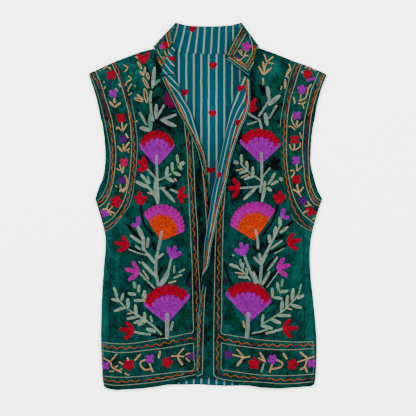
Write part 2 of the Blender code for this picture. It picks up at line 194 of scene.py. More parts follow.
# The collar band, from its left end round the back of the neck to its right end
Rib = namedtuple("Rib", "where seam_x seam_y seam_z top_x top_y top_z")
COLLAR_RIBS = (
    Rib("left end", -87, 243.5, 9.8, -68.5, 292, 15.3),
    Rib("left return", -77, 243.2, 11.4, -67.2, 293, 15.8),
    Rib("left turn, top", -67, 244, 12.8, -65.2, 294, 15.8),
    Rib("left turn", -63.2, 244.5, 9.6, -62, 295, 13.5),
    Rib("left turn, under", -67, 245, 6.4, -65, 297, 11),
    Rib("left neck, low", -81.5, 250.5, 6.4, -64.5, 304, 10.8),
    Rib("left neck, middle", -90, 265, 6.4, -63, 316, 10.8),
    Rib("left neck, high", -95, 282.5, 6.4, -60, 329, 10.2),
    Rib("left side, over", -98.3, 291.5, 6.2, -58.6, 335.5, 8.8),
    Rib("left side", -100.5, 295.3, 3.8, -59, 339.5, 5.2),
    Rib("left side, under", -97, 293, 1.4, -55.5, 339.5, 1.8),
    Rib("back", -81, 289.5, 0.9, -44, 336.5, 0.9),
    Rib("back", -64.5, 288, 0.9, -33, 334.5, 0.9),
    Rib("back", -33, 286, 0.9, -10.5, 333.5, 0.9),
    Rib("back, middle", 0.5, 285, 0.9, 8, 333.5, 0.9),
    Rib("back", 34, 285, 0.9, 26.5, 334, 0.9),
    Rib("back", 65, 287.5, 0.9, 43, 335.5, 0.9),
    Rib("back", 78, 289.5, 0.9, 52, 337.5, 0.9),
    Rib("right side, under", 91, 293, 1.4, 59, 339.5, 1.8),
    Rib("right side", 94.5, 296, 3.8, 62.5, 339.5, 5.2),
    Rib("right side, over", 92.5, 291.5, 6.2, 61.5, 334.5, 8.8),
    Rib("right neck, high", 89, 279.5, 6.4, 56.5, 322.5, 10.6),
    Rib("right neck, middle", 85, 266, 7.4, 46.5, 306, 12),
    Rib("right neck, low", 80.8, 253.5, 10.4, 38.5, 289, 12.6),
    Rib("right end", 76.5, 240, 12.4, 31, 275, 12.4),
)

# Bell shapes: across, up, half length, half width, lean in degrees, and height or light.
# The soft folds of the fronts
FOLDS = (
    (-150, -60, 70, 16, 12, 1.4), (-120, 60, 60, 14, -28, 1.2), (-60, -150, 90, 15, 6, 1.3),
    (-165, -190, 80, 14, -4, -1.2), (-100, 190, 50, 14, -20, 1.1), (140, -50, 70, 16, -14, 1.4),
    (110, 80, 60, 14, 26, 1.2), (70, -160, 90, 15, -5, 1.3), (172, -180, 80, 14, 5, -1.2),
    (120, 190, 50, 14, 22, 1.1),
)

# Small creases and puckers, as ridges and troughs beside the seams and between the flowers
CREASES = (
    (-176, -20, 34, 5, -58, 0.9), (-168, -38, 40, 6, -50, -0.8), (-181, -52, 26, 4, -30, 0.7),
    (-173, -78, 44, 6, 10, 0.9), (-184, -96, 30, 5, 4, -0.7), (-179, -130, 52, 6, 8, 0.8),
    (-188, -170, 46, 5, -3, 0.7), (-176, -205, 36, 6, 6, -0.7), (-183, -228, 30, 5, -4, 0.7),
    (-150, -128, 30, 7, 35, 0.7), (-132, -88, 28, 6, -30, 0.6), (-101, -6, 30, 7, 18, 0.7),
    (-66, -38, 34, 7, -8, 0.7), (-52, 60, 36, 7, 4, -0.6), (-46, 12, 30, 6, 2, 0.6), (-128, 20, 24, 6, 15, 0.6),
    (-118, 132, 34, 6, -22, 0.7), (-96, 214, 30, 8, -34, 0.8), (-122, 238, 26, 7, 58, 0.7),
    (-150, 210, 30, 5, -18, -0.6), (-82, 178, 26, 6, -30, 0.6), (-142, -244, 6, 30, 0, 0.5),
    (-96, -248, 5, 36, 0, 0.6), (-40, -252, 5, 30, 0, 0.5), (-60, -290, 10, 16, 20, 0.5),
    (-132, -296, 10, 18, -15, 0.5), (-172, -300, 12, 10, 0, 0.6), (-108, -200, 26, 6, -12, 0.6),
    (-74, -120, 22, 6, 20, -0.5), (-34, -130, 40, 6, 0, 0.6), (-30, -205, 36, 6, 3, -0.5),
    (-152, 92, 30, 5, 4, 0.6), (-172, 150, 36, 5, -14, 0.6), (-160, 36, 26, 5, 22, 0.6),
    (-186, 206, 22, 6, -20, 0.7), (-128, -32, 26, 5, -46, 0.6), (170, -36, 36, 5, 52, 0.9),
    (160, -58, 40, 6, 40, -0.8), (181, -66, 30, 5, 20, 0.8), (172, -98, 40, 6, -14, 0.9),
    (186, -128, 34, 5, -4, -0.7), (178, -160, 50, 6, -6, 0.8), (190, -205, 44, 5, 2, 0.7),
    (176, -226, 34, 6, -8, -0.7), (152, -136, 30, 7, -32, 0.7), (136, -100, 30, 6, 28, 0.6),
    (104, -26, 34, 7, -16, 0.7), (62, -54, 34, 7, 8, 0.7), (50, 38, 36, 6, -8, 0.6), (66, 96, 34, 6, 6, -0.5),
    (122, 30, 26, 6, -18, 0.6), (116, 120, 36, 6, 20, 0.7), (92, 208, 30, 8, 30, 0.8), (128, 232, 26, 7, -60, 0.7),
    (86, 232, 22, 6, 10, 0.6), (148, 196, 30, 5, 20, -0.6), (22, -60, 46, 6, -4, 0.6), (4, -140, 40, 6, 2, 0.6),
    (2, -222, 38, 5, 0, -0.5), (46, -190, 26, 6, 14, 0.6), (88, -120, 24, 6, -20, -0.5),
    (112, -212, 26, 6, 14, 0.6), (60, -246, 5, 32, 0, 0.6), (120, -250, 6, 32, 0, 0.5), (174, -248, 6, 18, 0, 0.5),
    (70, -294, 10, 16, -18, 0.5), (150, -298, 10, 18, 12, 0.5), (180, -302, 12, 10, 0, 0.6),
    (152, 96, 30, 5, -4, 0.6), (170, 152, 34, 5, 12, 0.6), (160, 26, 26, 5, -26, 0.6), (192, 200, 22, 6, 18, 0.7),
    (178, -186, 60, 3, 2, 0.8), (-181, -178, 60, 3, 0, 0.8),
)

# Painted light on the fronts' velvet: above 0 a painted sheen, as in streaks along the sides and on the shoulders,
# and below 0 painted shade, as beside the rolls and the collar and in the folds
PAINTED_SHEEN_AND_SHADE = (
    (-16, 60, 110, 9, -4, -0.9), (-12, -110, 130, 8, 0, -0.7), (-66, 190, 50, 14, -24, -0.7),
    (12, -60, 130, 9, 2, -0.9), (42, 70, 70, 9, 22, -0.8), (82, 216, 50, 8, 4, -0.8), (-190, -60, 60, 9, 2, 0.75),
    (-194, -150, 90, 7, 2, 0.6), (-192, -240, 60, 7, -2, 0.5), (-172, -96, 40, 7, 14, 0.5),
    (-160, -136, 26, 9, -10, -0.2), (-140, -24, 14, 10, 0, -0.3), (-174, -30, 26, 6, -52, 0.6),
    (-128, 245, 20, 12, 40, 0.9), (-88, 260, 24, 12, -10, -1.1), (-117, 232, 30, 7, -20, 0.6),
    (-150, 236, 24, 8, -60, 0.5), (-205, 236, 14, 6, -20, 0.7), (-176, 258, 8, 26, 24, 0.6),
    (-98, 150, 60, 12, -24, -0.5), (-52, 78, 70, 10, -10, -0.6), (-84, 206, 60, 10, -22, -0.6),
    (-32, -20, 60, 5, -6, 0.35), (-24, -140, 110, 5, 0, -0.5), (-96, 32, 24, 8, 0, -0.4),
    (-57, 158, 32, 9, -24, -0.6), (-122, 6, 12, 8, 0, 0.35), (-64, 12, 12, 9, 0, 0.3),
    (-104, -110, 16, 9, -30, 0.35), (-140, -64, 22, 8, -60, 0.45), (-66, -96, 20, 9, 0, 0.3),
    (-126, -150, 22, 8, 20, 0.4), (-58, -176, 26, 7, -10, 0.35), (-130, -196, 24, 14, 0, -0.35),
    (-100, -186, 20, 9, -30, -0.1), (-50, -232, 20, 8, 30, 0.3), (-130, -262, 5, 40, 0, 0.4),
    (-70, -256, 5, 34, 8, -0.4), (-170, -318, 8, 18, 0, 0.5), (-100, -312, 6, 26, 6, 0.35),
    (-30, -292, 8, 22, 8, -0.3), (-160, 100, 70, 5, 4, 0.35), (-176, 150, 50, 5, -10, -0.3),
    (-148, 14, 30, 5, 24, 0.4), (-190, 16, 20, 6, 50, 0.5), (-118, 84, 16, 9, 0, -0.3), (188, -60, 50, 8, -6, 0.75),
    (194, -150, 90, 7, -2, 0.6), (192, -240, 60, 7, 2, 0.55), (166, -112, 44, 7, -16, 0.55),
    (176, -170, 46, 8, 4, 0.5), (150, -50, 40, 6, 48, 0.5), (176, -44, 26, 6, 44, 0.6),
    (118, 250, 22, 13, -30, 0.9), (104, 258, 18, 10, 0, 0.2), (140, 244, 24, 8, 56, 0.5),
    (206, 236, 14, 6, 20, 0.7), (176, 256, 8, 26, -22, 0.6), (62, 120, 90, 10, 14, -1.0), (44, 40, 60, 8, 10, -0.6),
    (80, 200, 60, 10, 20, -0.7), (100, 232, 20, 6, 40, 0.5), (10, -50, 90, 5, 8, -0.5), (2, -180, 110, 6, 0, -0.5),
    (120, -20, 14, 9, -20, 0.4), (104, 18, 16, 9, 0, -0.3), (32, -22, 30, 12, 0, -0.6), (52, -20, 14, 9, 0, 0.3),
    (104, -94, 22, 11, 0, -0.5), (138, -76, 24, 8, 60, 0.45), (72, -100, 20, 9, 0, 0.1),
    (126, -156, 22, 8, -20, 0.4), (54, -180, 26, 7, 10, 0.35), (146, -172, 24, 9, 0, -0.25),
    (112, -226, 16, 14, 0, -0.3), (44, -236, 20, 8, -26, 0.3), (130, -258, 5, 40, 0, 0.4),
    (76, -258, 5, 34, -8, -0.4), (172, -316, 8, 18, 0, 0.5), (100, -312, 6, 26, -6, 0.35),
    (34, -294, 8, 22, -8, -0.3), (-15.6, -228, 70, 3.5, -2.9, 1.1), (156, 96, 70, 5, -4, 0.35),
    (174, 146, 50, 5, 8, -0.3), (150, 8, 30, 5, -24, 0.4), (192, 14, 20, 6, -46, 0.5), (112, 84, 16, 9, 0, -0.3),
)
# Where the back's lining lies in the light, and below 0 where the fronts and the collar shade it
LINING_SHADE = (
    (2, 182, 50, 18, 0, 0.85), (50, 245, 30, 20, 0, -0.9), (8, 62, 36, 22, 0, -1.2), (-28, 120, 30, 9, -20, -0.8),
)

# Embroidery. Lines are rows of chain stitch; a zigzag has its period and swing, and its dark shadow's place.
# Blades are stems and leaves by thread and shape: each has its width, then its points, across and up in turn.
Line = namedtuple("Line", "thread points")
Zigzag = namedtuple("Zigzag", "period swing shadow points thread", defaults=["variegated"])
Tulip = namedtuple("Tulip", "thread base tips")
Flower = namedtuple("Flower", "thread centre radius petals turn eye", defaults=[None])
Fan = namedtuple(
    "Fan", "foot from_deg to_deg away radius lean_deg lobes points body winged scallop thread rim_thread"
)

LEFT_LINES = (
    Line("stone", (-218, 245, -215, 237, -212, 231, -207, 218, -203, 206, -199, 192, -196, 180, -190, 156, -187,
        139, -183, 118, -180, 95, -181, 75, -184, 51, -188, 34, -197, 18, -206, 9)),
    Line("cream", (-208, 251, -202, 238, -196, 222, -192, 209, -188, 195, -183, 180, -177, 159, -174, 138, -171,
        115, -170, 91, -172, 67, -176, 41, -182, 23, -191, 7, -203, -2)),
    Line("cream", (-177, 264, -171, 251, -166, 241, -161, 227, -156, 211, -152, 196, -148, 182, -144, 158, -142,
        139, -141, 112, -142, 86, -144, 62, -147, 40, -153, 17, -163, -4, -178, -23, -195, -34)),
    Line("teal", (-166, 267, -160, 258, -156, 247, -151, 234, -148, 221, -145, 206)),
    Line("stone", (-142, 199, -140, 189, -135, 163, -132, 139, -130, 117, -131, 91, -133, 67, -136, 41, -140, 18,
        -147, -1, -161, -21, -175, -37, -192, -48)),
    Line("ash", (-44, 163, -42, 141, -38, 103, -37, 64, -35, 26, -34, -4, -32, -35, -31, -66, -29, -103, -28, -155,
        -27, -207, -27, -232, -38, -235, -55, -239, -88, -245, -122, -251, -148, -254, -170, -254, -198, -251)),
    Line("ash", (-31, 138, -29, 126, -26, 80, -24, 34, -22, -4, -19, -43, -18, -99, -15, -146, -14, -192, -13, -247,
        -14, -295, -15, -308, -27, -312, -48, -316, -77, -322, -107, -326, -136, -329, -170, -331, -196, -327)),
    Line("ash", (-12, 84, -8, 49, -5, 11, -2, -35, -1, -81, -1, -173, -1, -310)),
    Line("ash", (-26, -253, -26, -277, -26, -302, -55, -306, -88, -310, -122, -314, -155, -316, -181, -315, -198,
        -313)),
    Line("ash", (-26, -253, -40, -255, -66, -260, -96, -264, -122, -267, -148, -270, -170, -270, -198, -266)),
    Line("stone", (-193, -253, -194, -266, -194, -288, -195, -314)),
)
LEFT_ZIGZAGS = (
    Zigzag(14.1, 1.4, 2.8, (-215, 247, -210, 239, -206, 232, -201, 223, -198, 212, -194, 199, -191, 188, -187, 176,
        -183, 161, -180, 147, -178, 132, -177, 117, -176, 95, -177, 75, -177, 52, -182, 33, -189, 19, -198, 9, -206,
        5), "autumn"),
    Zigzag(14.1, 1.4, 3, (-174, 266, -168, 256, -163, 245, -159, 234, -155, 222, -151, 207, -147, 191, -144, 174,
        -140, 156, -138, 136, -136, 112, -136, 91, -137, 71, -139, 49, -144, 26, -150, 4, -161, -16, -175, -31,
        -192, -42), "autumn"),
    Zigzag(16.7, 1.5, 3.1, (-37, 137, -33, 95, -32, 64, -29, 34, -28, 3, -26, -28, -25, -58, -23, -89, -21, -146,
        -20, -192, -20, -238, -21, -288, -22, -304, -40, -309, -70, -315, -103, -320, -136, -323, -170, -324, -196,
        -320)),
    Zigzag(16.7, 1.5, -2.8, (-9, 65, -6, 43, -3, 19, -2, 0, 1, -20, 2, -62)),
    Zigzag(16.3, 2.4, 3, (-21, -243, -33, -245, -59, -249, -88, -255, -122, -260, -148, -262, -173, -261, -196,
        -258)),
)
LEFT_FANS = (
    Fan((-93.9, 73.7), -42, 42.5, 33.3, 33.9, 0, 10, 7, 0.8, True, 4.3, "purple", "red"),
    Fan((-85.9, -62.6), -34, 69, 24.1, 42.9, 2, 13, 9, 0.73, False, 4.3, "orange", "magenta"),
    Fan((-75.4, -216.5), -52, 41.5, 22.2, 50.5, 10, 12, 8, 0.75, True, 4.3, "purple", "red"),
)
LEFT_TULIPS = (
    Tulip("red", (-111.8, 69.1), ((-130.9, 66.9), (-120.2, 92.2), (-129.2, 84.3))),
    Tulip("red", (-54.5, 24.9), ((-41.9, 34.9), (-47.3, 5.8), (-38.8, 17.3))),
    Tulip("red", (-123.9, 2.7), ((-134.2, 19.1), (-114.1, 19.1), (-125.9, 28))),
    Tulip("purple", (-127.7, -37.3), ((-129.2, -18.8), (-140.9, -33.4))),
    Tulip("red", (-145.9, -72.8), ((-158.1, -54.9), (-164.9, -83.5), (-172, -66.7))),
    Tulip("purple", (-66.1, -96.3), ((-73.5, -75), (-48.7, -84.6), (-60, -73.2))),
    Tulip("magenta", (-126.8, -122.9), ((-138.7, -101.8), (-146.8, -136.6), (-152.9, -115.5))),
    Tulip("red", (-136.3, -230.8), ((-150.5, -213.4), (-154.2, -245.6), (-162.9, -227.1))),
    Tulip("berry", (-56.9, 189.3), ((-82.4, 201.4), (-72.1, 184.2), (-80.2, 191.9), (-78.7, 209))),
    Tulip("red", (-118.3, 264.5), ((-130.3, 281.8), (-108.7, 285.9), (-122, 280))),
)
LEFT_BLADES = (
    ("dark_purple", "petal", (
        (4.8, -35, -134, -34, -149),
    )),
    ("tan", "leaf", (
        (3.1, -134, 277, -129, 274), (3.3, -182, 258, -179, 252), (2.2, -201, 252, -198, 250),
        (2.5, -193, 232, -191, 228), (3.1, -149, 153, -157, 139), (3.1, -145, 119, -155, 105),
        (3.3, -144, 107, -154, 102), (2.3, -169, 70, -162, 66), (3.3, -162, 41, -160, 28),
        (2.3, -171, 39, -167, 35), (3.1, -195, -6, -187, -4), (3.1, -184, -8, -172, -13),
        (2.8, -184, -9, -178, -17), (2.8, -198, -23, -194, -28), (3.7, -167, -272, -179, -286),
        (3.7, -182, -305, -173, -305), (3.7, -158, -300, -168, -305), (3, -165, -294, -172, -298),
        (3.7, -42, -275, -32, -271), (3.7, -41, -280, -33, -288),
    )),
    ("tan", "loop", (
        (5.3, -130, 268, -122, 254), (4.5, -115, 258, -118, 244), (4.5, -126, 250, -118, 242),
        (6.5, -112, 247, -109, 235), (6.5, -120, 238, -109, 218), (8, -117, 218, -112, 191),
        (6.5, -136, 200, -120, 194), (5.1, -131, 207, -119, 197), (4.5, -173, 201, -172, 191),
        (4.7, -182, 194, -173, 184), (4.7, -161, 192, -172, 183), (4.2, -167, 112, -158, 101),
        (4.2, -164, 28, -150, 34), (4.5, -136, -286, -124, -273), (5.4, -46, -294, -56, -279),
    )),
    ("black", "stem", (
        (3, -116, 264, -111, 252, -106, 238, -108, 213), (4.4, -88, 227, -96, 222, -102, 212),
        (4.8, -64, 172, -92, 160, -98, 157), (4.4, -100, 156, -102, 142), (3.7, -128, 149, -122, 147),
        (3, -102, 74, -102, 65, -95, 53), (3.7, -124, 3, -121, -18, -115, -37, -100, -54),
        (4.1, -146, -76, -131, -82, -115, -90), (4.4, -116, -137, -101, -155),
        (3.3, -30, -118, -35, -131, -41, -145), (4.1, -105, -238, -92, -240, -79, -240),
    )),
    ("grey", "leaf", (
        (7.4, -98, 258, -100, 241, -102, 218), (7, -95, 189, -96, 164), (6.3, -57, 170, -75, 164, -89, 159),
        (7.8, -58, 148, -86, 159), (8.1, -126, 146, -106, 140), (10, -96, 51, -95, 30, -92, 4),
        (6.3, -85, 34, -61, 8), (8.5, -130, -37, -124, -49, -119, -62), (6.3, -143, -54, -121, -69),
        (6.3, -110, -57, -112, -77), (6.3, -111, -86, -98, -106), (5.9, -95, -97, -81, -87),
        (10, -72, -118, -79, -133, -89, -148), (5.6, -64, -212, -69, -231),
    )),
    ("mint", "leaf", (
        (5.6, -88, 235, -101, 222), (9.2, -106, 171, -106, 139),
    )),
    ("grey", "stem", (
        (4.8, -104, 214, -106, 200, -104, 173, -100, 157), (4.4, -80, 188, -96, 161), (4.8, -127, 175, -112, 150),
        (4.8, -95, 95, -93, 40, -93, 32), (4.4, -93, 30, -92, 4), (4.4, -112, 69, -94, 50),
        (3.7, -92, 48, -78, 54, -66, 61), (4.1, -93, 33, -78, 34), (4.4, -70, 32, -55, 25),
        (7, -120, -55, -119, -68, -119, -83), (5.6, -85, -45, -89, -68, -93, -83),
        (5.9, -92, -83, -95, -98, -96, -122, -91, -148), (4.8, -118, -79, -108, -93, -96, -104),
        (4.4, -67, -96, -74, -122, -84, -143), (7.8, -75, -197, -75, -221, -75, -246),
    )),
    ("black", "leaf", (
        (5.9, -106, 191, -92, 202), (7.4, -90, 160, -61, 133), (5.9, -113, 170, -113, 152),
        (4.8, -132, 182, -125, 172), (4.1, -93, 18, -90, 7), (5.2, -80, 32, -70, 33, -58, 41),
        (6.3, -151, -32, -138, -46, -124, -62), (7, -102, -66, -95, -82), (7, -92, -127, -83, -111),
        (4.1, -95, -221, -79, -232),
    )),
    ("tan", "stem", (
        (2.2, -156, 262, -148, 256, -154, 248), (2.3, -147, 242, -141, 235, -149, 230, -152, 223),
        (2.2, -140, 227, -146, 218, -148, 212), (2.2, -140, 211, -143, 207, -147, 206), (2.2, -130, 159, -134, 155),
        (2.3, -194, 253, -187, 258, -180, 254), (2.2, -189, 222, -192, 216), (2.8, -159, 156, -157, 139),
        (2.8, -168, 142, -167, 147, -158, 139), (2.8, -156, 116, -156, 102), (2.2, -148, 104, -146, 99),
        (3.1, -155, 74, -158, 61), (2.5, -163, 77, -160, 67, -158, 61),
        (2.5, -153, 58, -149, 46, -152, 32, -159, 26), (2.8, -183, 6, -186, -3, -184, -12),
        (2.5, -176, 0, -183, -8), (3, -193, -281, -183, -286, -179, -290, -176, -298, -159, -307),
        (2.7, -154, -308, -149, -311, -144, -312),
        (3.3, -114, -283, -124, -288, -122, -297, -115, -302, -105, -301),
        (3.3, -108, -289, -105, -298, -101, -307), (2.8, -68, -277, -56, -277, -43, -278),
        (2.8, -44, -262, -56, -276),
    )),
    ("stone", "leaf", (
        (3.7, -136, 224, -133, 220),
    )),
    ("leaf", "stem", (
        (2.6, -68, 61, -53, 81), (2.2, -119, 51, -105, 34), (2.2, -50, -119, -72, -138),
        (2.6, -141, -146, -128, -160, -115, -174),
    )),
    ("sage", "leaf", (
        (6.7, -77, 55, -74, 74), (5.9, -65, 64, -66, 82), (5.6, -55, 79, -57, 96), (8.1, -52, 76, -43, 82),
        (5.9, -55, 75, -47, 68), (6.3, -64, 63, -50, 57), (6.7, -78, 54, -62, 45), (5.9, -124, 60, -109, 41),
        (7.4, -133, 46, -111, 35), (4.4, -111, 56, -107, 41), (5.2, -134, -73, -124, -80),
        (6.7, -122, -103, -96, -130), (4.4, -128, -102, -124, -105), (5.2, -126, -123, -112, -138, -98, -152),
        (4.1, -62, -109, -62, -124), (4.4, -42, -116, -55, -123), (4.8, -47, -126, -64, -133),
        (5.9, -174, -149, -167, -167), (5.6, -156, -160, -160, -175), (5.6, -179, -171, -162, -176),
        (5.9, -174, -194, -150, -186), (7, -148, -170, -147, -188), (7, -134, -181, -132, -202),
        (6.3, -120, -161, -117, -177), (5.9, -150, -208, -128, -204), (5.9, -137, -216, -120, -210),
        (7.4, -129, -220, -112, -210), (6.3, -117, -195, -116, -211), (5.2, -106, -202, -103, -215),
        (7.4, -114, -226, -96, -232), (5.6, -137, -139, -134, -152), (5.6, -127, -145, -128, -160),
        (6.3, -148, -161, -132, -163), (7, -117, -155, -116, -171), (5.9, -137, -174, -119, -174),
    )),
    ("peach", "leaf", (
        (3.6, -62, 52, -57, 46), (3.3, -112, 26, -103, 22), (2.5, -144, -53, -139, -56),
        (3.3, -149, -199, -139, -197), (2.8, -165, 227, -161, 221), (3.1, -152, 135, -147, 126),
        (3.7, -165, -287, -156, -292), (4.3, -149, -279, -146, -286), (4.8, -88, -267, -91, -281),
    )),
    ("sage", "stem", (
        (5.6, -114, 41, -101, 24, -94, 14), (3, -147, -79, -129, -86, -110, -91),
        (3, -174, -151, -167, -170, -149, -189, -128, -202), (4.1, -130, -201, -116, -210, -100, -222, -85, -238),
        (4.4, -136, -232, -122, -235, -105, -237),
    )),
    ("cream", "leaf", (
        (3, -120, -118, -109, -135), (3.1, -58, -138, -73, -142), (4.1, -171, 219, -166, 212),
    )),
    ("pine", "stem", (
        (3.3, -63, -231, -50, -212, -36, -194),
    )),
    ("pine", "leaf", (
        (3, -55, -219, -55, -206), (3, -49, -211, -48, -198), (3, -42, -202, -40, -189), (3, -54, -221, -40, -216),
        (3, -48, -211, -33, -207), (3, -41, -202, -29, -197),
    )),
    ("plum", "leaf", (
        (2.8, -182, 230, -177, 226),
    )),
    ("deep_red", "leaf", (
        (2.8, -163, 24, -160, 17),
    )),
    ("fern", "stem", (
        (1.7, -143, 226, -138, 243, -130, 262),
    )),
    ("fern", "leaf", (
        (1.7, -140, 236, -146, 247), (1.7, -135, 248, -141, 259), (1.7, -138, 239, -128, 246),
        (1.7, -134, 252, -124, 259),
    )),
)
LEFT_FLOWERS = (
    Flower("red", (-179, 243), 9.4, 4, 40, "blue"),
    Flower("purple", (-175.3, 208.6), 8.1, 4, 38),
    Flower("red", (-160.5, 163.4), 9.2, 4, 32),
    Flower("plum", (-156.6, 124.4), 8.1, 4, 45),
    Flower("pink", (-155.1, 81.5), 8.5, 4, 45, "magenta"),
    Flower("plum", (-158.8, 47.6), 7.8, 4, 30),
    Flower("red", (-169.6, 8.6), 11.5, 5, 12, "blue"),
    Flower("purple", (-190.1, -12.3), 8.5, 4, 20),
    Flower("purple", (-189.5, -294.6), 8.5, 4, 45),
    Flower("red", (-146.2, -293.3), 10.5, 5, 36),
    Flower("purple", (-106.7, -281.8), 8.7, 4, 45),
    Flower("red", (-74.8, -288.3), 10.4, 5, 20, "blue"),
    Flower("plum", (-31.7, -276.7), 7.4, 4, 40),
)

RIGHT_LINES = (
    Line("cream", (216, 245, 211, 233, 207, 221, 202, 208, 198, 195, 194, 181, 190, 160, 188, 139, 186, 110, 186,
        86, 187, 65, 189, 45, 195, 28, 201, 16, 210, 10)),
    Line("cream", (205, 248, 198, 230, 192, 216, 189, 204, 186, 191, 183, 178, 179, 160, 177, 139, 175, 110, 176,
        89, 178, 71, 180, 48, 187, 22, 196, 6, 207, 0)),
    Line("cream", (174, 263, 167, 245, 161, 225, 156, 210, 152, 197, 149, 178, 147, 160, 146, 139, 145, 108, 147,
        72, 152, 42, 162, 9, 176, -14, 187, -24, 197, -32)),
    Line("stone", (162, 265, 152, 240, 148, 224, 144, 209, 140, 189, 136, 167, 134, 146)),
    Line("teal", (134, 139, 135, 103, 138, 60, 142, 32, 148, 3, 152, -10)),
    Line("stone", (154, -14, 159, -24, 176, -38, 193, -46)),
    Line("ash", (33, 38, 31, 14, 29, -12, 28, -44, 27, -99, 26, -155, 26, -210, 26, -234, 41, -238, 71, -243, 100,
        -247, 143, -250, 171, -251, 197, -250)),
    Line("ash", (17, -14, 16, -40, 14, -81, 13, -118, 12, -173, 11, -244, 11, -303, 13, -313, 21, -318, 45, -322,
        78, -324, 100, -325, 134, -328, 167, -327, 195, -324)),
    Line("ash", (-4, -149, -6, -173, -8, -220, -9, -266, -10, -303, -11, -310, -20, -314)),
    Line("aqua", (-8, -146, -10, -155, -12, -166, -17, -201, -19, -247, -20, -303)),
    Line("ash", (25, -252, 25, -277, 25, -300, 34, -303, 60, -307, 100, -312, 143, -313, 171, -312, 197, -310)),
    Line("ash", (25, -252, 38, -255, 67, -259, 100, -263, 130, -265, 156, -265, 197, -263)),
    Line("stone", (194, -251, 195, -266, 196, -288, 195, -312)),
)
RIGHT_ZIGZAGS = (
    Zigzag(14.1, 1.4, 2.8, (212, 247, 208, 235, 204, 224, 200, 212, 196, 201, 192, 188, 189, 174, 186, 158, 183,
        139, 181, 110, 181, 89, 183, 71, 187, 42, 193, 20, 202, 8, 210, 6), "sunset"),
    Zigzag(14.1, 1.4, 3, (169, 264, 165, 255, 161, 246, 158, 234, 154, 221, 151, 208, 148, 195, 145, 180, 143, 162,
        141, 139, 140, 110, 142, 72, 148, 34, 156, 4, 169, -21, 182, -35, 196, -42), "harvest"),
    Zigzag(16.7, 1.9, -3.1, (28, 17, 26, -3, 23, -23, 21, -59, 20, -99, 19, -155, 19, -210, 18, -266, 18, -295, 21,
        -309, 34, -312, 60, -315, 100, -318, 143, -321, 171, -320, 197, -317)),
    Zigzag(16.7, 1.9, 2.8, (-9, -162, -12, -192, -15, -220, -16, -256, -17, -305)),
    Zigzag(16.3, 2.4, -3, (20, -242, 34, -246, 60, -252, 89, -255, 126, -257, 163, -257, 198, -256)),
)
RIGHT_FANS = (
    Fan((98.7, 79.1), -46, 48, 23.5, 42.2, -8, 11, 7, 0.77, True, 4.3, "purple", "red"),
    Fan((86.1, -62.8), -58, 35.5, 23.3, 49.2, 8, 13, 8, 0.73, False, 4.3, "orange", "magenta"),
    Fan((78.3, -212.5), -43, 48, 25.7, 49, -15, 13, 8, 0.75, True, 4.3, "purple", "red"),
)
RIGHT_TULIPS = (
    Tulip("black", (117, 71.5), ((124, 92.2), (135.5, 70.8), (133.8, 87.6))),
    Tulip("red", (59.3, 35.8), ((46.2, 51.3), (46.2, 15.8), (37.6, 32.8))),
    Tulip("red", (130.5, 5.1), ((122.6, 22.5), (143.3, 20.6), (133.8, 29.5))),
    Tulip("purple", (135.7, -19), ((140.9, -3.8), (150.7, -21))),
    Tulip("red", (147, -68.2), ((158.5, -49.3), (166, -79.5), (172.3, -61.5))),
    Tulip("purple", (66.9, -90.7), ((49.9, -78.5), (73.4, -70), (60.2, -66.3))),
    Tulip("magenta", (127.9, -115.2), ((140.9, -95.2), (146.8, -129.4), (152.5, -108.1))),
    Tulip("red", (139, -226), ((152.7, -208.4), (154.9, -242.6), (166.8, -224.9))),
    Tulip("red", (76.3, 175.3), ((76.3, 195.6), (90, 182.7), (88.5, 199.7))),
)
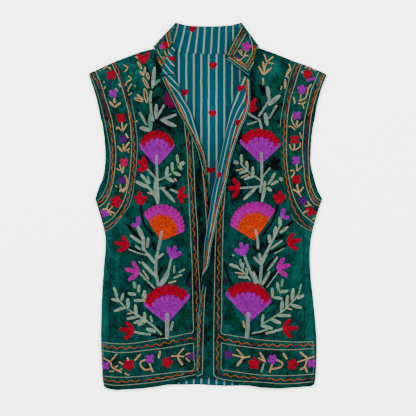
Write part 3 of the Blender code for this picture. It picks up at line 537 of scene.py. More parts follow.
RIGHT_BLADES = (
    ("dark_purple", "petal", (
        (5.6, 31, -130, 29, -144),
    )),
    ("tan", "stem", (
        (2.3, 158, 171, 155, 162, 157, 155, 163, 146), (2.4, 149, 147, 153, 148, 158, 145, 162, 141),
        (2.5, 164, 145, 172, 152, 175, 157), (2.5, 104, 282, 107, 274, 109, 266),
        (2.5, 109, 265, 105, 253, 104, 242), (2.8, 150, 264, 153, 253, 146, 245),
        (2.5, 185, 260, 192, 256, 200, 250), (2.8, 192, 226, 186, 218, 184, 209, 180, 200, 168, 194),
        (2.5, 182, 194, 176, 190, 167, 190), (2.8, 175, 189, 178, 180), (2.8, 166, 159, 164, 149),
        (2.2, 171, 134, 174, 125), (3.1, 160, 116, 160, 104), (2.5, 151, 115, 154, 106, 160, 104),
        (2.5, 171, 118, 170, 110, 161, 104), (3.1, 164, 78, 165, 65), (2.2, 175, 75, 166, 66),
        (2.8, 152, 66, 158, 66, 160, 61, 154, 53), (3.1, 165, 41, 168, 26, 173, 17),
        (2.8, 177, 36, 172, 29, 168, 25), (2.2, 200, -19, 204, -10), (3, 45, -274, 67, -279, 79, -277),
        (3.7, 67, -279, 60, -286, 54, -294), (3, 93, -280, 107, -288), (3.7, 119, -291, 114, -308),
        (3.3, 116, -301, 133, -298, 138, -290, 126, -283), (3, 165, -288, 185, -282, 198, -277),
        (3.3, 184, -282, 179, -297, 170, -302),
    )),
    ("tan", "leaf", (
        (3.1, 122, 277, 110, 268), (3.3, 123, 264, 110, 266), (2.3, 146, 244, 149, 236), (2.3, 137, 223, 135, 215),
        (2.8, 179, 256, 186, 259), (2.5, 188, 257, 189, 252), (3.3, 172, 209, 171, 194), (2.8, 170, 137, 171, 133),
        (3.1, 157, 32, 168, 25), (2.8, 179, 0, 192, 3), (2.8, 176, -12, 187, -7), (2.8, 184, 10, 189, 1),
        (2.8, 193, -24, 199, -21), (3.7, 53, -263, 66, -278), (3.9, 63, -286, 53, -296),
    )),
    ("tan", "loop", (
        (4.5, 102, 268, 105, 250), (4.7, 94, 259, 103, 243), (4.7, 119, 257, 104, 244), (4.2, 102, 238, 102, 223),
        (5.1, 152, 255, 144, 239), (4.5, 143, 235, 143, 217), (4.5, 96, -269, 107, -289),
        (4.2, 179, -295, 184, -308),
    )),
    ("leaf", "stem", (
        (3, 139, 251, 130, 230, 119, 206), (3, 113, 38, 123, 47, 135, 57), (2.8, 116, -172, 126, -162, 139, -152),
    )),
    ("grey", "leaf", (
        (7.4, 110, 222, 114, 195), (8.9, 134, 206, 112, 187), (8.5, 106, 173, 110, 149), (4.1, 72, 151, 92, 157),
        (6.3, 90, 35, 66, 12), (5.7, 84, -93, 98, -107),
    )),
    ("grey", "stem", (
        (4.4, 113, 195, 107, 186, 93, 165), (4.4, 128, 187, 113, 161), (4.1, 72, 174, 82, 167, 95, 159),
        (4.4, 94, 163, 97, 154, 100, 142), (5.2, 99, 100, 100, 67, 100, 38), (3.5, 100, 53, 116, 72),
        (4.4, 99, 41, 97, 25), (4.1, 59, 34, 78, 35, 98, 37), (5.2, 88, -42, 92, -61, 93, -80),
        (5.6, 95, -86, 99, -107, 98, -125, 96, -144), (4.8, 114, -73, 108, -90, 100, -106),
        (4.8, 67, -90, 77, -116, 89, -144), (7.8, 75, -195, 74, -220, 72, -245),
    )),
    ("black", "leaf", (
        (5.6, 96, 225, 104, 204), (5.6, 100, 234, 105, 207), (5.9, 137, 192, 113, 159), (5.6, 127, 158, 133, 155),
        (5.6, 59, 50, 71, 38), (4.4, 97, 25, 95, 11), (5.9, 130, -46, 145, -37, 159, -25),
        (5.9, 125, -60, 141, -54), (3.7, 109, -58, 110, -73), (6.3, 81, -71, 95, -85), (6.3, 103, -67, 93, -85),
        (5.9, 80, -90, 86, -94), (6.3, 83, -108, 94, -128), (6.1, 121, -96, 102, -123),
    )),
    ("black", "stem", (
        (3.7, 95, 199, 98, 188, 100, 174), (3.3, 74, 162, 84, 162, 94, 158), (3.3, 92, 176, 94, 160),
        (5.2, 101, 58, 108, 70, 110, 80), (3, 60, 36, 72, 38), (4.1, 130, 4, 125, -13, 119, -28, 102, -53),
        (4.1, 109, -88, 128, -80, 148, -70), (4.4, 128, -117, 115, -133, 104, -150),
        (4.4, 30, -102, 38, -130, 46, -147), (4.4, 79, -237, 93, -236, 108, -233),
    )),
    ("sage", "stem", (
        (3.3, 98, 48, 86, 56, 70, 69, 60, 81), (4.1, 134, -21, 133, -36, 124, -55, 114, -74, 100, -99),
        (2, 123, -87, 132, -83, 141, -77), (2, 131, -120, 109, -150), (2.8, 53, -112, 67, -122, 79, -137),
        (3.3, 168, -163, 153, -180, 134, -197, 108, -213, 98, -218), (3.7, 81, -235, 97, -232, 111, -227),
        (4.8, 107, -235, 123, -231, 139, -226),
    )),
    ("sage", "leaf", (
        (5.9, 62, 96, 63, 80), (5.9, 72, 84, 73, 66), (5.9, 83, 74, 84, 57), (5.6, 58, 61, 73, 66),
        (5.9, 67, 50, 86, 56), (5.9, 111, 40, 125, 62), (7, 133, 53, 138, 47), (6.3, 116, 40, 131, 47),
        (6.7, 106, 47, 104, 28, 100, 8), (6.7, 110, 35, 118, 28), (6.7, 133, -19, 134, -38),
        (7, 126, -37, 123, -56), (7, 113, -52, 115, -68), (7, 147, -38, 133, -49), (5.2, 138, -63, 116, -79),
        (5.2, 129, -94, 110, -119), (5.6, 115, -120, 100, -146), (5.6, 84, -120, 92, -142),
        (6.7, 40, -107, 57, -113), (5.2, 60, -97, 62, -112), (5.2, 66, -104, 64, -120), (5.2, 71, -113, 73, -126),
        (5.6, 56, -130, 76, -132), (4.1, 45, -89, 49, -92), (5.9, 119, -150, 120, -170),
        (5.9, 128, -140, 132, -157), (5.2, 139, -134, 136, -148), (6.3, 132, -159, 149, -156),
        (5.9, 122, -168, 139, -171), (4.1, 173, -143, 168, -163), (7.4, 158, -151, 156, -177),
        (6.3, 178, -164, 165, -171), (6.3, 148, -164, 145, -186), (7, 154, -182, 174, -188),
        (7, 138, -174, 136, -196), (6.3, 129, -202, 154, -202), (5.6, 103, -199, 100, -216),
        (7.4, 117, -209, 135, -216), (7, 98, -220, 120, -226), (4.4, 104, -290, 99, -307),
    )),
    ("stone", "leaf", (
        (8.1, 47, 82, 57, 80),
    )),
    ("peach", "leaf", (
        (3.3, 52, 66, 66, 69), (3.3, 61, 53, 76, 59), (2.8, 149, -37, 144, -41), (2.5, 138, -63, 134, -66),
        (2.5, 129, -93, 126, -98), (3.3, 50, -122, 67, -125), (3.3, 144, -188, 156, -191),
        (2.8, 129, -213, 136, -216), (3.6, 65, -211, 68, -225), (3.9, 159, 202, 161, 190),
        (4.3, 139, -271, 147, -283), (4.8, 170, -269, 186, -282),
    )),
    ("leaf", "leaf", (
        (3.7, 130, 43, 138, 40),
    )),
    ("pine", "stem", (
        (3.3, 64, -229, 50, -211, 39, -191),
    )),
    ("pine", "leaf", (
        (3, 56, -218, 56, -205), (3, 50, -210, 50, -197), (3, 44, -201, 43, -187), (3, 56, -220, 42, -216),
        (3, 50, -210, 36, -206), (3, 44, -200, 33, -194),
    )),
    ("pearl", "leaf", (
        (4.1, 173, 250, 176, 246),
    )),
    ("purple", "stem", (
        (4.4, 196, 240, 196, 236, 188, 234, 182, 232),
    )),
    ("fern", "stem", (
        (1.7, 119, 202, 128, 226, 143, 256),
    )),
    ("fern", "leaf", (
        (1.7, 127, 224, 118, 236), (1.7, 133, 235, 124, 248), (1.7, 128, 226, 140, 232), (1.7, 134, 237, 147, 244),
        (1.7, 124, 216, 114, 224),
    )),
)
RIGHT_FLOWERS = (
    Flower("red", (184.4, 244.5), 9.1, 5, 18),
    Flower("purple", (174, 216.4), 9.1, 5, 8),
    Flower("purple", (165.1, 168.1), 8.5, 4, 40),
    Flower("red", (160.5, 123.5), 8.9, 4, 45),
    Flower("purple", (163.3, 85), 8.3, 4, 45),
    Flower("red", (163.6, 49.5), 9.2, 4, 40),
    Flower("plum", (176.2, 9.9), 8.5, 5, 20),
    Flower("red", (190.1, -9.5), 9.2, 4, 25),
    Flower("plum", (38.6, -274.1), 8.7, 4, 40),
    Flower("red", (85.9, -290.7), 11.3, 5, 0),
    Flower("purple", (120, -282.6), 9.2, 5, 30),
    Flower("red", (156.8, -292.2), 10.5, 5, 10),
    Flower("purple", (192.1, -290.7), 8.5, 4, 45),
)

COLLAR_LINES = (
    Line("cream", (64, 332, 50, 305, 37, 279)),
    Line("cream", (38, 276, 54, 265, 74, 251)),
    Line("cream", (76, 251, 84, 265, 92, 282, 91, 297)),
    Line("cream", (71, 321, 59, 299, 47, 279)),
    Line("cream", (48, 277, 58, 270, 68, 262)),
    Line("cream", (70, 262, 78, 275, 83, 287, 81, 304, 76, 317)),
    Line("aqua", (34, 273, 45, 266, 57, 257, 70, 247, 76, 242)),
    Line("cream", (-57, 339, -71, 331, -83, 316, -98, 296)),
    Line("aqua", (-61, 334, -68, 322, -69, 311, -65, 299)),
    Line("cream", (-77, 320, -75, 308, -71, 294)),
    Line("cream", (-100, 294, -98, 280, -83, 257)),
    Line("tan", (-94, 290, -87, 277, -78, 265)),
    Line("aqua", (-65, 289, -76, 272, -91, 251)),
)
COLLAR_ZIGZAGS = (
    Zigzag(6.5, 1.1, 0, (67, 326, 54, 302, 42, 279)),
    Zigzag(6.5, 1.1, 0, (43, 277, 57, 267, 72, 256)),
    Zigzag(6.5, 1.1, 0, (73, 257, 81, 270, 87, 284, 86, 298)),
    Zigzag(6.5, 1.0, 0, (-71, 328, -72, 315, -68, 299)),
    Zigzag(6.5, 1.0, 0, (-97, 291, -94, 277, -82, 262)),
)
COLLAR_BLADES = (
    ("tan", "stem", (
        (2.2, 71, 288, 69, 282, 65, 274), (2.2, 56, 289, 60, 283, 64, 278), (2.2, 61, 290, 63, 282),
        (2.2, -80, 288, -78, 282, -74, 277), (2.2, -73, 290, -72, 284, -74, 277),
    )),
    ("tan", "leaf", (
        (2.2, 66, 275, 71, 279, 76, 277), (2.2, 65, 274, 59, 270, 53, 271), (2.2, -74, 277, -78, 273, -83, 277),
    )),
    ("plum", "leaf", (
        (3.1, 53, 279, 60, 272), (2.2, 77, 310, 78, 305), (3, -84, 313, -81, 308),
    )),
    ("leaf", "leaf", (
        (2.6, 48, 278, 53, 274), (2.6, 63, 269, 68, 265),
    )),
)
COLLAR_FLOWERS = (
    Flower("magenta", (71.7, 295.2), 9.1, 5, 10, "orange"),
    Flower("red", (-78.7, 297.8), 7.8, 4, 45),
    Flower("magenta", (-85.4, 295.9), 5.2, 4, 20),
    Flower("pink", (56.3, 272.4), 3, 4, 0),
)
# Rows along the rolled edges: distance from the free edge, thread, width, and swing to either side
LEFT_EDGE_ROWS = ((0.9, "aqua", 1.3, 0), (5.0, "variegated", 1.6, 0.5), (7.2, "cream", 1.4, 0))
RIGHT_EDGE_ROWS = ((0.9, "aqua", 1.2, 0), (3.8, "pearl", 1.7, 0), (6.8, "variegated", 1.6, 0.5))
# Thin rows that lie low along a seam, or over the leaves as their veins
LEFT_SEAMS = (
    Line("seam", (-180, -96, -180, -173, -182, -247)),
    Line("moss", (-176, -153, -162, -173, -142, -196, -112, -223)),
    Line("moss", (-136, -142, -127, -162, -114, -175)),
    Line("moss", (-56, 93, -59, 71, -74, 54, -88, 51)),
    Line("moss", (-62, -107, -74, -123, -88, -136)),
)
RIGHT_SEAMS = (
    Line("seam", (177, -48, 178, -155, 179, -247)),
    Line("moss", (172, -151, 152, -177, 126, -199, 104, -214)),
    Line("moss", (139, -136, 130, -155, 121, -164)),
    Line("moss", (47, -90, 52, -103, 73, -125)),
    Line("moss", (63, 93, 72, 71, 84, 58)),
    Line("moss", (121, 62, 109, 40, 101, 27)),
)

# Painted light on the collar's velvet and on the rolled edges' lining and facing: how much lighter they are drawn
COLLAR_PAINTED_LIGHT, ROLL_PAINTED_LIGHT = 0.25, 0.1
BLADE_LIFT = 0.25

# Stripes of the lining: the pitch and width of the pale ones, and their soft edge in metres
STRIPE_PITCH = 13.7
STRIPE_WIDTH = 3.0
STRIPE_BLUR = 0.0004
# Places across the back, and the whole pitches of stripe that lie there
BACK_STRIPES = ((-252.6, -253.0), (-52.6, -54.8), (2.7, 0.0), (60.2, 54.8), (260.2, 245.4))
# On the collar: where a stripe lies, and how much closer they lie to the left of where
COLLAR_STRIPE_AT, COLLAR_CLOSER, COLLAR_CLOSER_FROM = 7.2, 0.08, -5.0
COLLAR_HEIGHT = 52.0
# Printed hearts: their size and shape, and their places across and up each lining
HEART_WIDTH, HEART_HEIGHT, HEART_SPAN, HEART_CLEFT, HEART_MIDDLE = 14.6, 13.6, 2.42, 0.8, 0.21
HEARTS = (
    (6.7, 259.6), (5.8, 170.9), (3.1, 65.4), (-45.3, 209.7),
    (12.5, 4217.0), (39.6, 4154.2), (23.5, 4056.6), (-25.9, 6044.5), (172.9, 6028.2),
)
# Where the printed hearts of each lining are counted from, so that no two linings share a place
LEFT_PRINT_FROM, RIGHT_PRINT_FROM, COLLAR_PRINT_FROM = 2000.0, 4000.0, 6000.0
# How far the collar's stripes slant over its height, at places across
COLLAR_SLANT = ((-60, 13), (-46, 11), (-30, 8.5), (-8, 3), (20, 2.6), (50, 0))
# The ribs at the back of the neck, where the lining laps over the seam, and the ribs of the left end
BACK_RIBS, LEFT_END_RIBS = (10, 18), 3
NECK_SEAM_LAP, SECOND_LAP = np.array((0, -2.8, 0.5)), 0.4
# The left end's stripes: how they count across and up, and from where
LEFT_END_STRIPES = (1.15, 0.906, 1.7)
# From the bend of each roll: the first stripe, how close they lie at which height, and how they lean from a height
ROLL_STRIPES = {
    "left": (4.7, ((190, 1.5), (215, 1.15)), 0.65, 211.0),
    "right": (3.1, ((76, 1.9), (141, 1.75), (169, 1.4), (195, 1.0)), 0.0, 0.0),
}

# The camera's height, the width of its view at the floor, its sensor in millimetres, and the point it looks at
CAMERA_HEIGHT = 6.0
VIEW_WIDTH = 0.770
SENSOR = 36.0
VIEW_CENTRE = (0.0005, -0.0026)

# Lights: name, place, size, power and colour
LIGHTS = (
    ("key", (-1.2, 1.6, 2.6), 1.8, 270, (1, 0.99, 0.97)),
    ("fill", (1.8, -0.6, 2.4), 2.2, 120, (0.97, 0.99, 1)),
)
WORLD_STRENGTH = 2.7


def smoothstep(value):
    """0 at 0 and below, 1 at 1 and above, with a smooth rise between."""
    value = min(max(value, 0.0), 1.0)
    return value * value * (3 - 2 * value)


def ease(place, start, reach):
    """Smoothstep from a start, over a reach."""
    return smoothstep((place - start) / reach)


def walked(points):
    """How far along a line each of its points lies."""
    steps = np.linalg.norm(np.diff(points, axis=0), axis=1)
    return np.concatenate([[0], np.cumsum(steps)])


def smooth_rows(rows, corners, steps):
    """Rows of numbers with steps - 1 more between each two, on a curve that bends sharply only at the corners."""
    rows = np.array(rows, float)
    last = len(rows) - 1
    result = []
    for i in range(last):
        here, there = rows[i], rows[i + 1]
        leave = there - here if i == 0 or i in corners else (there - rows[i - 1]) / 2
        reach = there - here if i + 1 == last or i + 1 in corners else (rows[i + 2] - here) / 2
        for step in range(steps):
            t = step / steps
            result.append(
                (2 * t**3 - 3 * t**2 + 1) * here
                + (t**3 - 2 * t**2 + t) * leave
                + (3 * t**2 - 2 * t**3) * there
                + (t**3 - t**2) * reach
            )
    result.append(rows[last])
    return np.array(result)


def at_runs(runs, run, points):
    """The points at these runs along a line."""
    return np.stack([np.interp(runs, run, points[:, axis]) for axis in (0, 1)], axis=-1)


def along(points, share):
    """The point at this share of a line's length."""
    points = np.array(points, float)
    run = walked(points)
    return at_runs(share * run[-1], run, points)


def bells(patches, x, y):
    """The sum of many bell shapes at every point of a grid."""
    total = np.zeros_like(x)
    for across, up, half_length, half_width, lean_deg, height in patches:
        lean = math.radians(lean_deg)
        dx, dy = x - across, y - up
        over = (dx * math.cos(lean) + dy * math.sin(lean)) / half_width
        on = (dy * math.cos(lean) - dx * math.sin(lean)) / half_length
        total += height * np.exp(-over * over - on * on)
    return total


@functools.cache
def fold_map():
    """The height of all folds and creases, on a lattice over both fronts."""
    steps = np.arange(-FOLD_REACH, FOLD_REACH + FOLD_STEP, FOLD_STEP)
    return bells(FOLDS + CREASES, steps[None, :] + 0 * steps[:, None], steps[:, None] + 0 * steps[None, :])


def fold_height(across, up):
    """The height of the folds at one place, from the four nearest points of their map."""
    column, row = (across + FOLD_REACH) / FOLD_STEP, (up + FOLD_REACH) / FOLD_STEP
    i, j = int(column), int(row)
    u, v = column - i, row - j
    heights = fold_map()
    low = heights[j, i] * (1 - u) + heights[j, i + 1] * u
    return low * (1 - v) + (heights[j + 1, i] * (1 - u) + heights[j + 1, i + 1] * u) * v


class Front:
    """One front, as a surface over share (0 at the side, 1 where the edge turns, 2 at the free edge) and row."""

    def __init__(self, sections, hem, shoulder_and_neck, flat_material, flap_drop, toward):
        self.toward = toward
        self.flap_drop = flap_drop
        self.hem = sorted(hem)
        self.shoulder_and_neck = shoulder_and_neck
        rows = []
        for section in sections:
            turn = math.radians(section.turn)
            if section.turn == 180:
                material = section.roll - ROLL_RADIUS + math.pi * ROLL_RADIUS
                reach = ROLL_RADIUS
            else:
                material = flat_material
                radius = material / turn if turn else 0
                reach = radius * math.sin(min(turn, math.pi / 2)) if turn else material
            bend_x = section.fold_x - toward * reach
            rows.append((section.side_x, section.side_y, bend_x, section.fold_y, material, turn, section.lie))
        corners = {number for number, section in enumerate(sections) if section.corner}
        self.rows = smooth_rows(rows, corners, FINE_ROWS)
        self.last = len(self.rows) - 1

    def flat_point(self, row, share):
        """Where a point lies across and up, with the hem's and the shoulder's outlines bent in."""
        side_x, side_y, bend_x, bend_y = self.rows[row][:4]
        x = side_x + (bend_x - side_x) * share
        y = side_y + (bend_y - side_y) * share
        part = row / self.last
        if share <= 1:
            top = self.rows[self.last]
            straight = np.array([top[0] + (top[2] - top[0]) * share, top[1] + (top[3] - top[1]) * share])
            bulge = along(self.shoulder_and_neck, share) - straight
            weight = ease(part, *NECK_BEND) ** NECK_BEND_POWER
            x += weight * bulge[0]
            y += weight * bulge[1]
        return x, y + self.hem_drop(row, x)

    def hem_drop(self, row, x):
        """How far the hem's outline moves a point up or down."""
        hem_row = self.rows[0]
        slope = (hem_row[3] - hem_row[1]) / (hem_row[2] - hem_row[0])
        straight = hem_row[1] + slope * (x - hem_row[0])
        hem_y = np.interp(x, [point[0] for point in self.hem], [point[1] for point in self.hem])
        return (hem_y - straight) * (1 - ease(row / self.last, *HEM_BEND))

    def height(self, row, share, x, y):
        """How high the middle of the velvet lies."""
        part = row / self.last
        lie = self.rows[row][6]
        over = FRONT_EDGE_HEIGHT + (lie - FRONT_EDGE_HEIGHT) * smoothstep(share)
        beside = (1 - math.exp(-share / SIDE_RISE)) * smoothstep((1 - share) / ROLL_FALL)
        between = (1 - math.exp(-part / END_RISE)) * (1 - math.exp((part - 1) / END_RISE))
        over += (FRONT_PUFF + fold_height(x, y)) * beside * between
        to_neck = smoothstep((share - NECK_SHARE + NECK_LEAD) / NECK_RISE)
        top = FRONT_EDGE_HEIGHT + (NECKLINE_HEIGHT - FRONT_EDGE_HEIGHT) * to_neck
        return max(over + (top - over) * ease(part, *TOP_BEND), FRONT_EDGE_HEIGHT)

    def point(self, row, share):
        """A point on the middle of the velvet: flat, then round the bend, then back over the front."""
        if share <= 1:
            x, y = self.flat_point(row, share)
            return np.array([x, y, self.height(row, share, x, y)])
        side_x, side_y, bend_x, bend_y, material, turn, _ = self.rows[row]
        start = self.point(row, 1)
        way = np.array([bend_x - side_x, bend_y - side_y])
        way /= np.linalg.norm(way)
        gone = (share - 1) * material
        if turn < STRAIGHT:
            forward, up = gone, 0.0
        else:
            rolled = smoothstep((turn / math.pi - 0.5) * 2)
            radius = material / turn
            radius += (ROLL_RADIUS - radius) * rolled
            arc = min(radius * turn, material)
            bent = min(gone, arc) / radius
            forward, up = radius * math.sin(bent), radius * (1 - math.cos(bent))
            rest = material - arc
            if gone > arc and rest > 0:
                drop = max(radius * (1 - math.cos(turn)) - ROLL_REST, 0)
                droop = min(STEEPEST_DROOP, math.atan2(drop, rest)) * rolled
                forward += (gone - arc) * math.cos(turn + droop)
                up += (gone - arc) * math.sin(turn + droop)
        x, y = start[:2] + forward * way
        if turn < STRAIGHT:
            y += self.hem_drop(row, x) - self.hem_drop(row, start[0])
        y -= self.flap_drop * (share - 1) * ease(row / self.last, *FLAP_BEND)
        return np.array([x, y, start[2] + up])


def facing_out(grid):
    """Unit normals of a grid of points, towards the side on which its columns and rows turn anticlockwise."""

    def ways(axis):
        """The way on at each point: the sum of the unit steps before and after it."""
        steps = np.diff(grid, axis=axis)
        steps /= np.linalg.norm(steps, axis=2, keepdims=True)
        first, last = np.take(steps, [0], axis=axis), np.take(steps, [-1], axis=axis)
        return np.concatenate([first, steps], axis=axis) + np.concatenate([steps, last], axis=axis)

    out = np.cross(ways(1), ways(0))
    return out / np.linalg.norm(out, axis=2, keepdims=True)


def shell(name, grid, thickness, material, cloth_across, cloth_up, painted_light):
    """A thin wall round a grid of points, with its place in the cloth as a UV map in metres, and its painted light
    and shade as an attribute.
    """
    rows, columns = grid.shape[:2]
    mesh = bpy.data.meshes.new(name)
    cloth = bmesh.new()
    bmesh.ops.create_grid(cloth, x_segments=columns - 1, y_segments=rows - 1, size=1)
    cloth.to_mesh(mesh)
    cloth.free()
    mesh.vertices.foreach_set("co", ((grid + np.array(PLACED)) * MM).ravel())
    corner_of = np.empty(len(mesh.loops), int)
    mesh.loops.foreach_get("vertex_index", corner_of)
    places = np.stack([cloth_across, cloth_up], axis=-1).reshape(-1, 2) * MM
    mesh.uv_layers.new(name="cloth").data.foreach_set("uv", places[corner_of].ravel())
    mesh.attributes.new("painted_light", "FLOAT", "POINT").data.foreach_set("value", painted_light.ravel())
    mesh.polygons.foreach_set("use_smooth", np.ones(len(mesh.polygons), bool))
    mesh.update()
    mesh.materials.append(material)
    piece = bpy.data.objects.new(name, mesh)
    bpy.context.scene.collection.objects.link(piece)
    wall = piece.modifiers.new("Thickness", "SOLIDIFY")
    wall.thickness = thickness * MM
    wall.offset = 0
    edge = piece.modifiers.new("Rounded edge", "BEVEL")
    edge.width = thickness * MM * EDGE_ROUND
    edge.segments = EDGE_STEPS
    edge.limit_method = "ANGLE"
    edge.angle_limit = SHARP_EDGE
    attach(piece, "root")
    return piece


def node(tree, kind, inputs=(), **settings):
    """Adds a node, sets it up, and fills its inputs with values or with other nodes' outputs."""
    made = tree.nodes.new(kind)
    for name, value in settings.items():
        setattr(made, name, value)
    for name, value in dict(inputs).items():
        if isinstance(value, bpy.types.NodeSocket):
            tree.links.new(value, made.inputs[name])
        else:
            made.inputs[name].default_value = value
    return made


def new_material(name, roughness, specular, sheen=0.0, sheen_tint=(1, 1, 1, 1)):
    """A material with its node tree and its shader."""
    material = bpy.data.materials.new(name)
    material.use_nodes = True
    shader = material.node_tree.nodes["Principled BSDF"]
    shader.inputs["Roughness"].default_value = roughness
    shader.inputs["Specular IOR Level"].default_value = specular
    shader.inputs["Sheen Weight"].default_value = sheen
    shader.inputs["Sheen Roughness"].default_value = SHEEN_ROUGHNESS
    shader.inputs["Sheen Tint"].default_value = sheen_tint
    return material, material.node_tree, shader


def noise(tree, place, scale, detail=2.0, stretch=(1, 1, 1), swirl=0.0):
    """Noise of this many cells a metre, drawn out along an axis where its stretch is small."""
    mapping = node(tree, "ShaderNodeMapping", {"Vector": place, "Scale": stretch})
    inputs = {"Vector": mapping.outputs[0], "Scale": scale, "Detail": detail, "Distortion": swirl}
    texture = node(tree, "ShaderNodeTexNoise", inputs)
    return texture.outputs["Fac"]


def math_of(tree, operation, first, second=0.0, third=None):
    """The output of a Math node."""
    inputs = {0: first, 1: second} if third is None else {0: first, 1: second, 2: third}
    return node(tree, "ShaderNodeMath", inputs, operation=operation).outputs[0]


def bump(tree, shader, height, strength, distance):
    """Raises the shader's surface by a height."""
    inputs = {"Height": height, "Strength": strength, "Distance": distance}
    tree.links.new(node(tree, "ShaderNodeBump", inputs).outputs[0], shader.inputs["Normal"])


def ramp(tree, factor, stops):
    """The output of a colour ramp whose stops are pairs of place and colour."""
    made = node(tree, "ShaderNodeValToRGB", {"Fac": factor})
    made.color_ramp.elements[0].position, made.color_ramp.elements[0].color = stops[0]
    made.color_ramp.elements[1].position, made.color_ramp.elements[1].color = stops[-1]
    for position, color in stops[1:-1]:
        made.color_ramp.elements.new(position).color = color
    return made.outputs[0]


SHEEN_ROUGHNESS = 0.35
# Velvet's clouds, crushed patches and pile: cells a metre, detail, stretch, swirl, and weight in the light
VELVET_NOISES = (
    (34.0, 4.0, (1, 1, 1), 1.2, 0.65),
    (85.0, 3.0, (1, 0.6, 1), 0.8, 0.75),
    (420.0, 2.0, (1, 0.5, 1), 0.0, 0.7),
)
# Where the velvet's lightness starts, and how strongly painted sheen and painted shade move it
VELVET_LIGHT, PAINTED_LIGHT_WEIGHT = -0.56, 0.32
VELVET_STOPS = (0.2, 0.5, 0.9)
# Cotton: how its threads run, where their shades change, and how far its stripes waver, in metres
WARP, WEFT = (900, 60, 1), (60, 900, 1)
WEAVE_STOPS = (0.3, 0.7)
STRIPE_WAVES, STRIPE_WAVER, DARK_STRIPE = 40.0, 0.0016, 0.72
# How strongly painted light and shade lighten or darken the lining
COTTON_SHADE = 0.3
# Thread: cells a metre of its worn places, its strands, and its dark speckles of painted shade between the stitches
WORN, STRANDS, SHADED_SPECKLES = 120.0, 900.0, 560.0


def velvet_material(settings):
    """Cotton velvet: its crushed pile mottles it dark and pale at random, and painted sheen and painted shade from
    the piece's attribute make it lighter or darker in places.
    """
    material, tree, shader = new_material("crushed velvet", 0.9, 0.0, 0.008, (0.25, 0.75, 0.66, 1))
    place = node(tree, "ShaderNodeTexCoord").outputs["Object"]
    layers, light = [], VELVET_LIGHT
    for scale, detail, stretch, swirl, weight in VELVET_NOISES:
        layers.append(noise(tree, place, scale, detail, stretch, swirl))
        light = math_of(tree, "MULTIPLY_ADD", layers[-1], weight, light)
    # Painted sheen and painted shade from the piece's attribute
    painted_light = node(tree, "ShaderNodeAttribute", attribute_name="painted_light").outputs["Fac"]
    light = math_of(tree, "MULTIPLY_ADD", painted_light, PAINTED_LIGHT_WEIGHT, light)
    shades = (settings.velvet_dark_and_shade, settings.velvet_green, settings.velvet_pale_and_sheen)
    color = ramp(tree, light, [(stop, (*shade, 1)) for stop, shade in zip(VELVET_STOPS, shades)])
    tree.links.new(color, shader.inputs["Base Color"])
    _, crushed, pile = layers
    bump(tree, shader, math_of(tree, "MULTIPLY_ADD", pile, 0.3, crushed), 0.5, 0.0012)
    return material


def heart(tree, cloth, across, up):
    """1 inside a printed heart about a place on the cloth, 0 outside it."""
    middle = (across * MM, up * MM, 0)
    away = node(tree, "ShaderNodeVectorMath", {0: cloth, 1: middle}, operation="SUBTRACT").outputs[0]
    apart = node(tree, "ShaderNodeSeparateXYZ", {0: away})
    aside = math_of(tree, "ABSOLUTE", apart.outputs["X"])
    wide = math_of(tree, "MULTIPLY", aside, 2 / (HEART_WIDTH * MM))
    lobe = math_of(tree, "POWER", wide, 0.5)
    high = math_of(tree, "MULTIPLY_ADD", apart.outputs["Y"], HEART_SPAN / (HEART_HEIGHT * MM), HEART_MIDDLE)
    high = math_of(tree, "MULTIPLY_ADD", lobe, -HEART_CLEFT, high)
    squares = math_of(tree, "MULTIPLY_ADD", wide, wide, math_of(tree, "MULTIPLY", high, high))
    return math_of(tree, "LESS_THAN", squares, 1.0)


def cotton_material(settings):
    """Plain-woven cotton with pale stripes, which lie at each whole pitch of the cloth's own width."""
    material, tree, shader = new_material("striped cotton", 0.95, 0.0)
    cloth = node(tree, "ShaderNodeUVMap", uv_map="cloth").outputs[0]
    across = node(tree, "ShaderNodeSeparateXYZ", {0: cloth}).outputs["X"]
    warp, weft = noise(tree, cloth, 1.0, 1.0, WARP), noise(tree, cloth, 1.0, 1.0, WEFT)
    waver = math_of(tree, "MULTIPLY_ADD", noise(tree, cloth, STRIPE_WAVES), STRIPE_WAVER, across)
    away = math_of(tree, "PINGPONG", waver, STRIPE_PITCH * MM / 2)
    half = STRIPE_WIDTH * MM / 2
    edges = {"From Min": half - STRIPE_BLUR, "From Max": half + STRIPE_BLUR, "To Min": 1.0, "To Max": 0.0}
    stripe = node(tree, "ShaderNodeMapRange", {"Value": away, **edges}).outputs[0]
    low, high = WEAVE_STOPS
    ground = ramp(tree, warp, [(low, (*settings.cotton_dark, 1)), (high, (*settings.cotton_teal, 1))])
    dark_stripe = tuple(value * DARK_STRIPE for value in settings.cotton_stripe)
    pale = ramp(tree, weft, [(low, (*dark_stripe, 1)), (high, (*settings.cotton_stripe, 1))])
    color = node(tree, "ShaderNodeMix", {"Factor": stripe, 6: ground, 7: pale}, data_type="RGBA")
    printed = 0.0
    for across_cloth, up_cloth in HEARTS:
        printed = math_of(tree, "MAXIMUM", heart(tree, cloth, across_cloth, up_cloth), printed)
    red = (*settings.cotton_heart, 1)
    color = node(tree, "ShaderNodeMix", {"Factor": printed, 6: color.outputs[2], 7: red}, data_type="RGBA")
    # Painted light and shade from the piece's attribute make the lining lighter or darker
    shade = node(tree, "ShaderNodeAttribute", attribute_name="painted_light").outputs["Fac"]
    tone = math_of(tree, "MULTIPLY_ADD", shade, COTTON_SHADE, 1.0)
    shaded = node(tree, "ShaderNodeVectorMath", {0: color.outputs[2], "Scale": tone}, operation="SCALE").outputs[0]
    tree.links.new(shaded, shader.inputs["Base Color"])
    bump(tree, shader, math_of(tree, "ADD", warp, weft), 0.35, 0.0004)
    return material


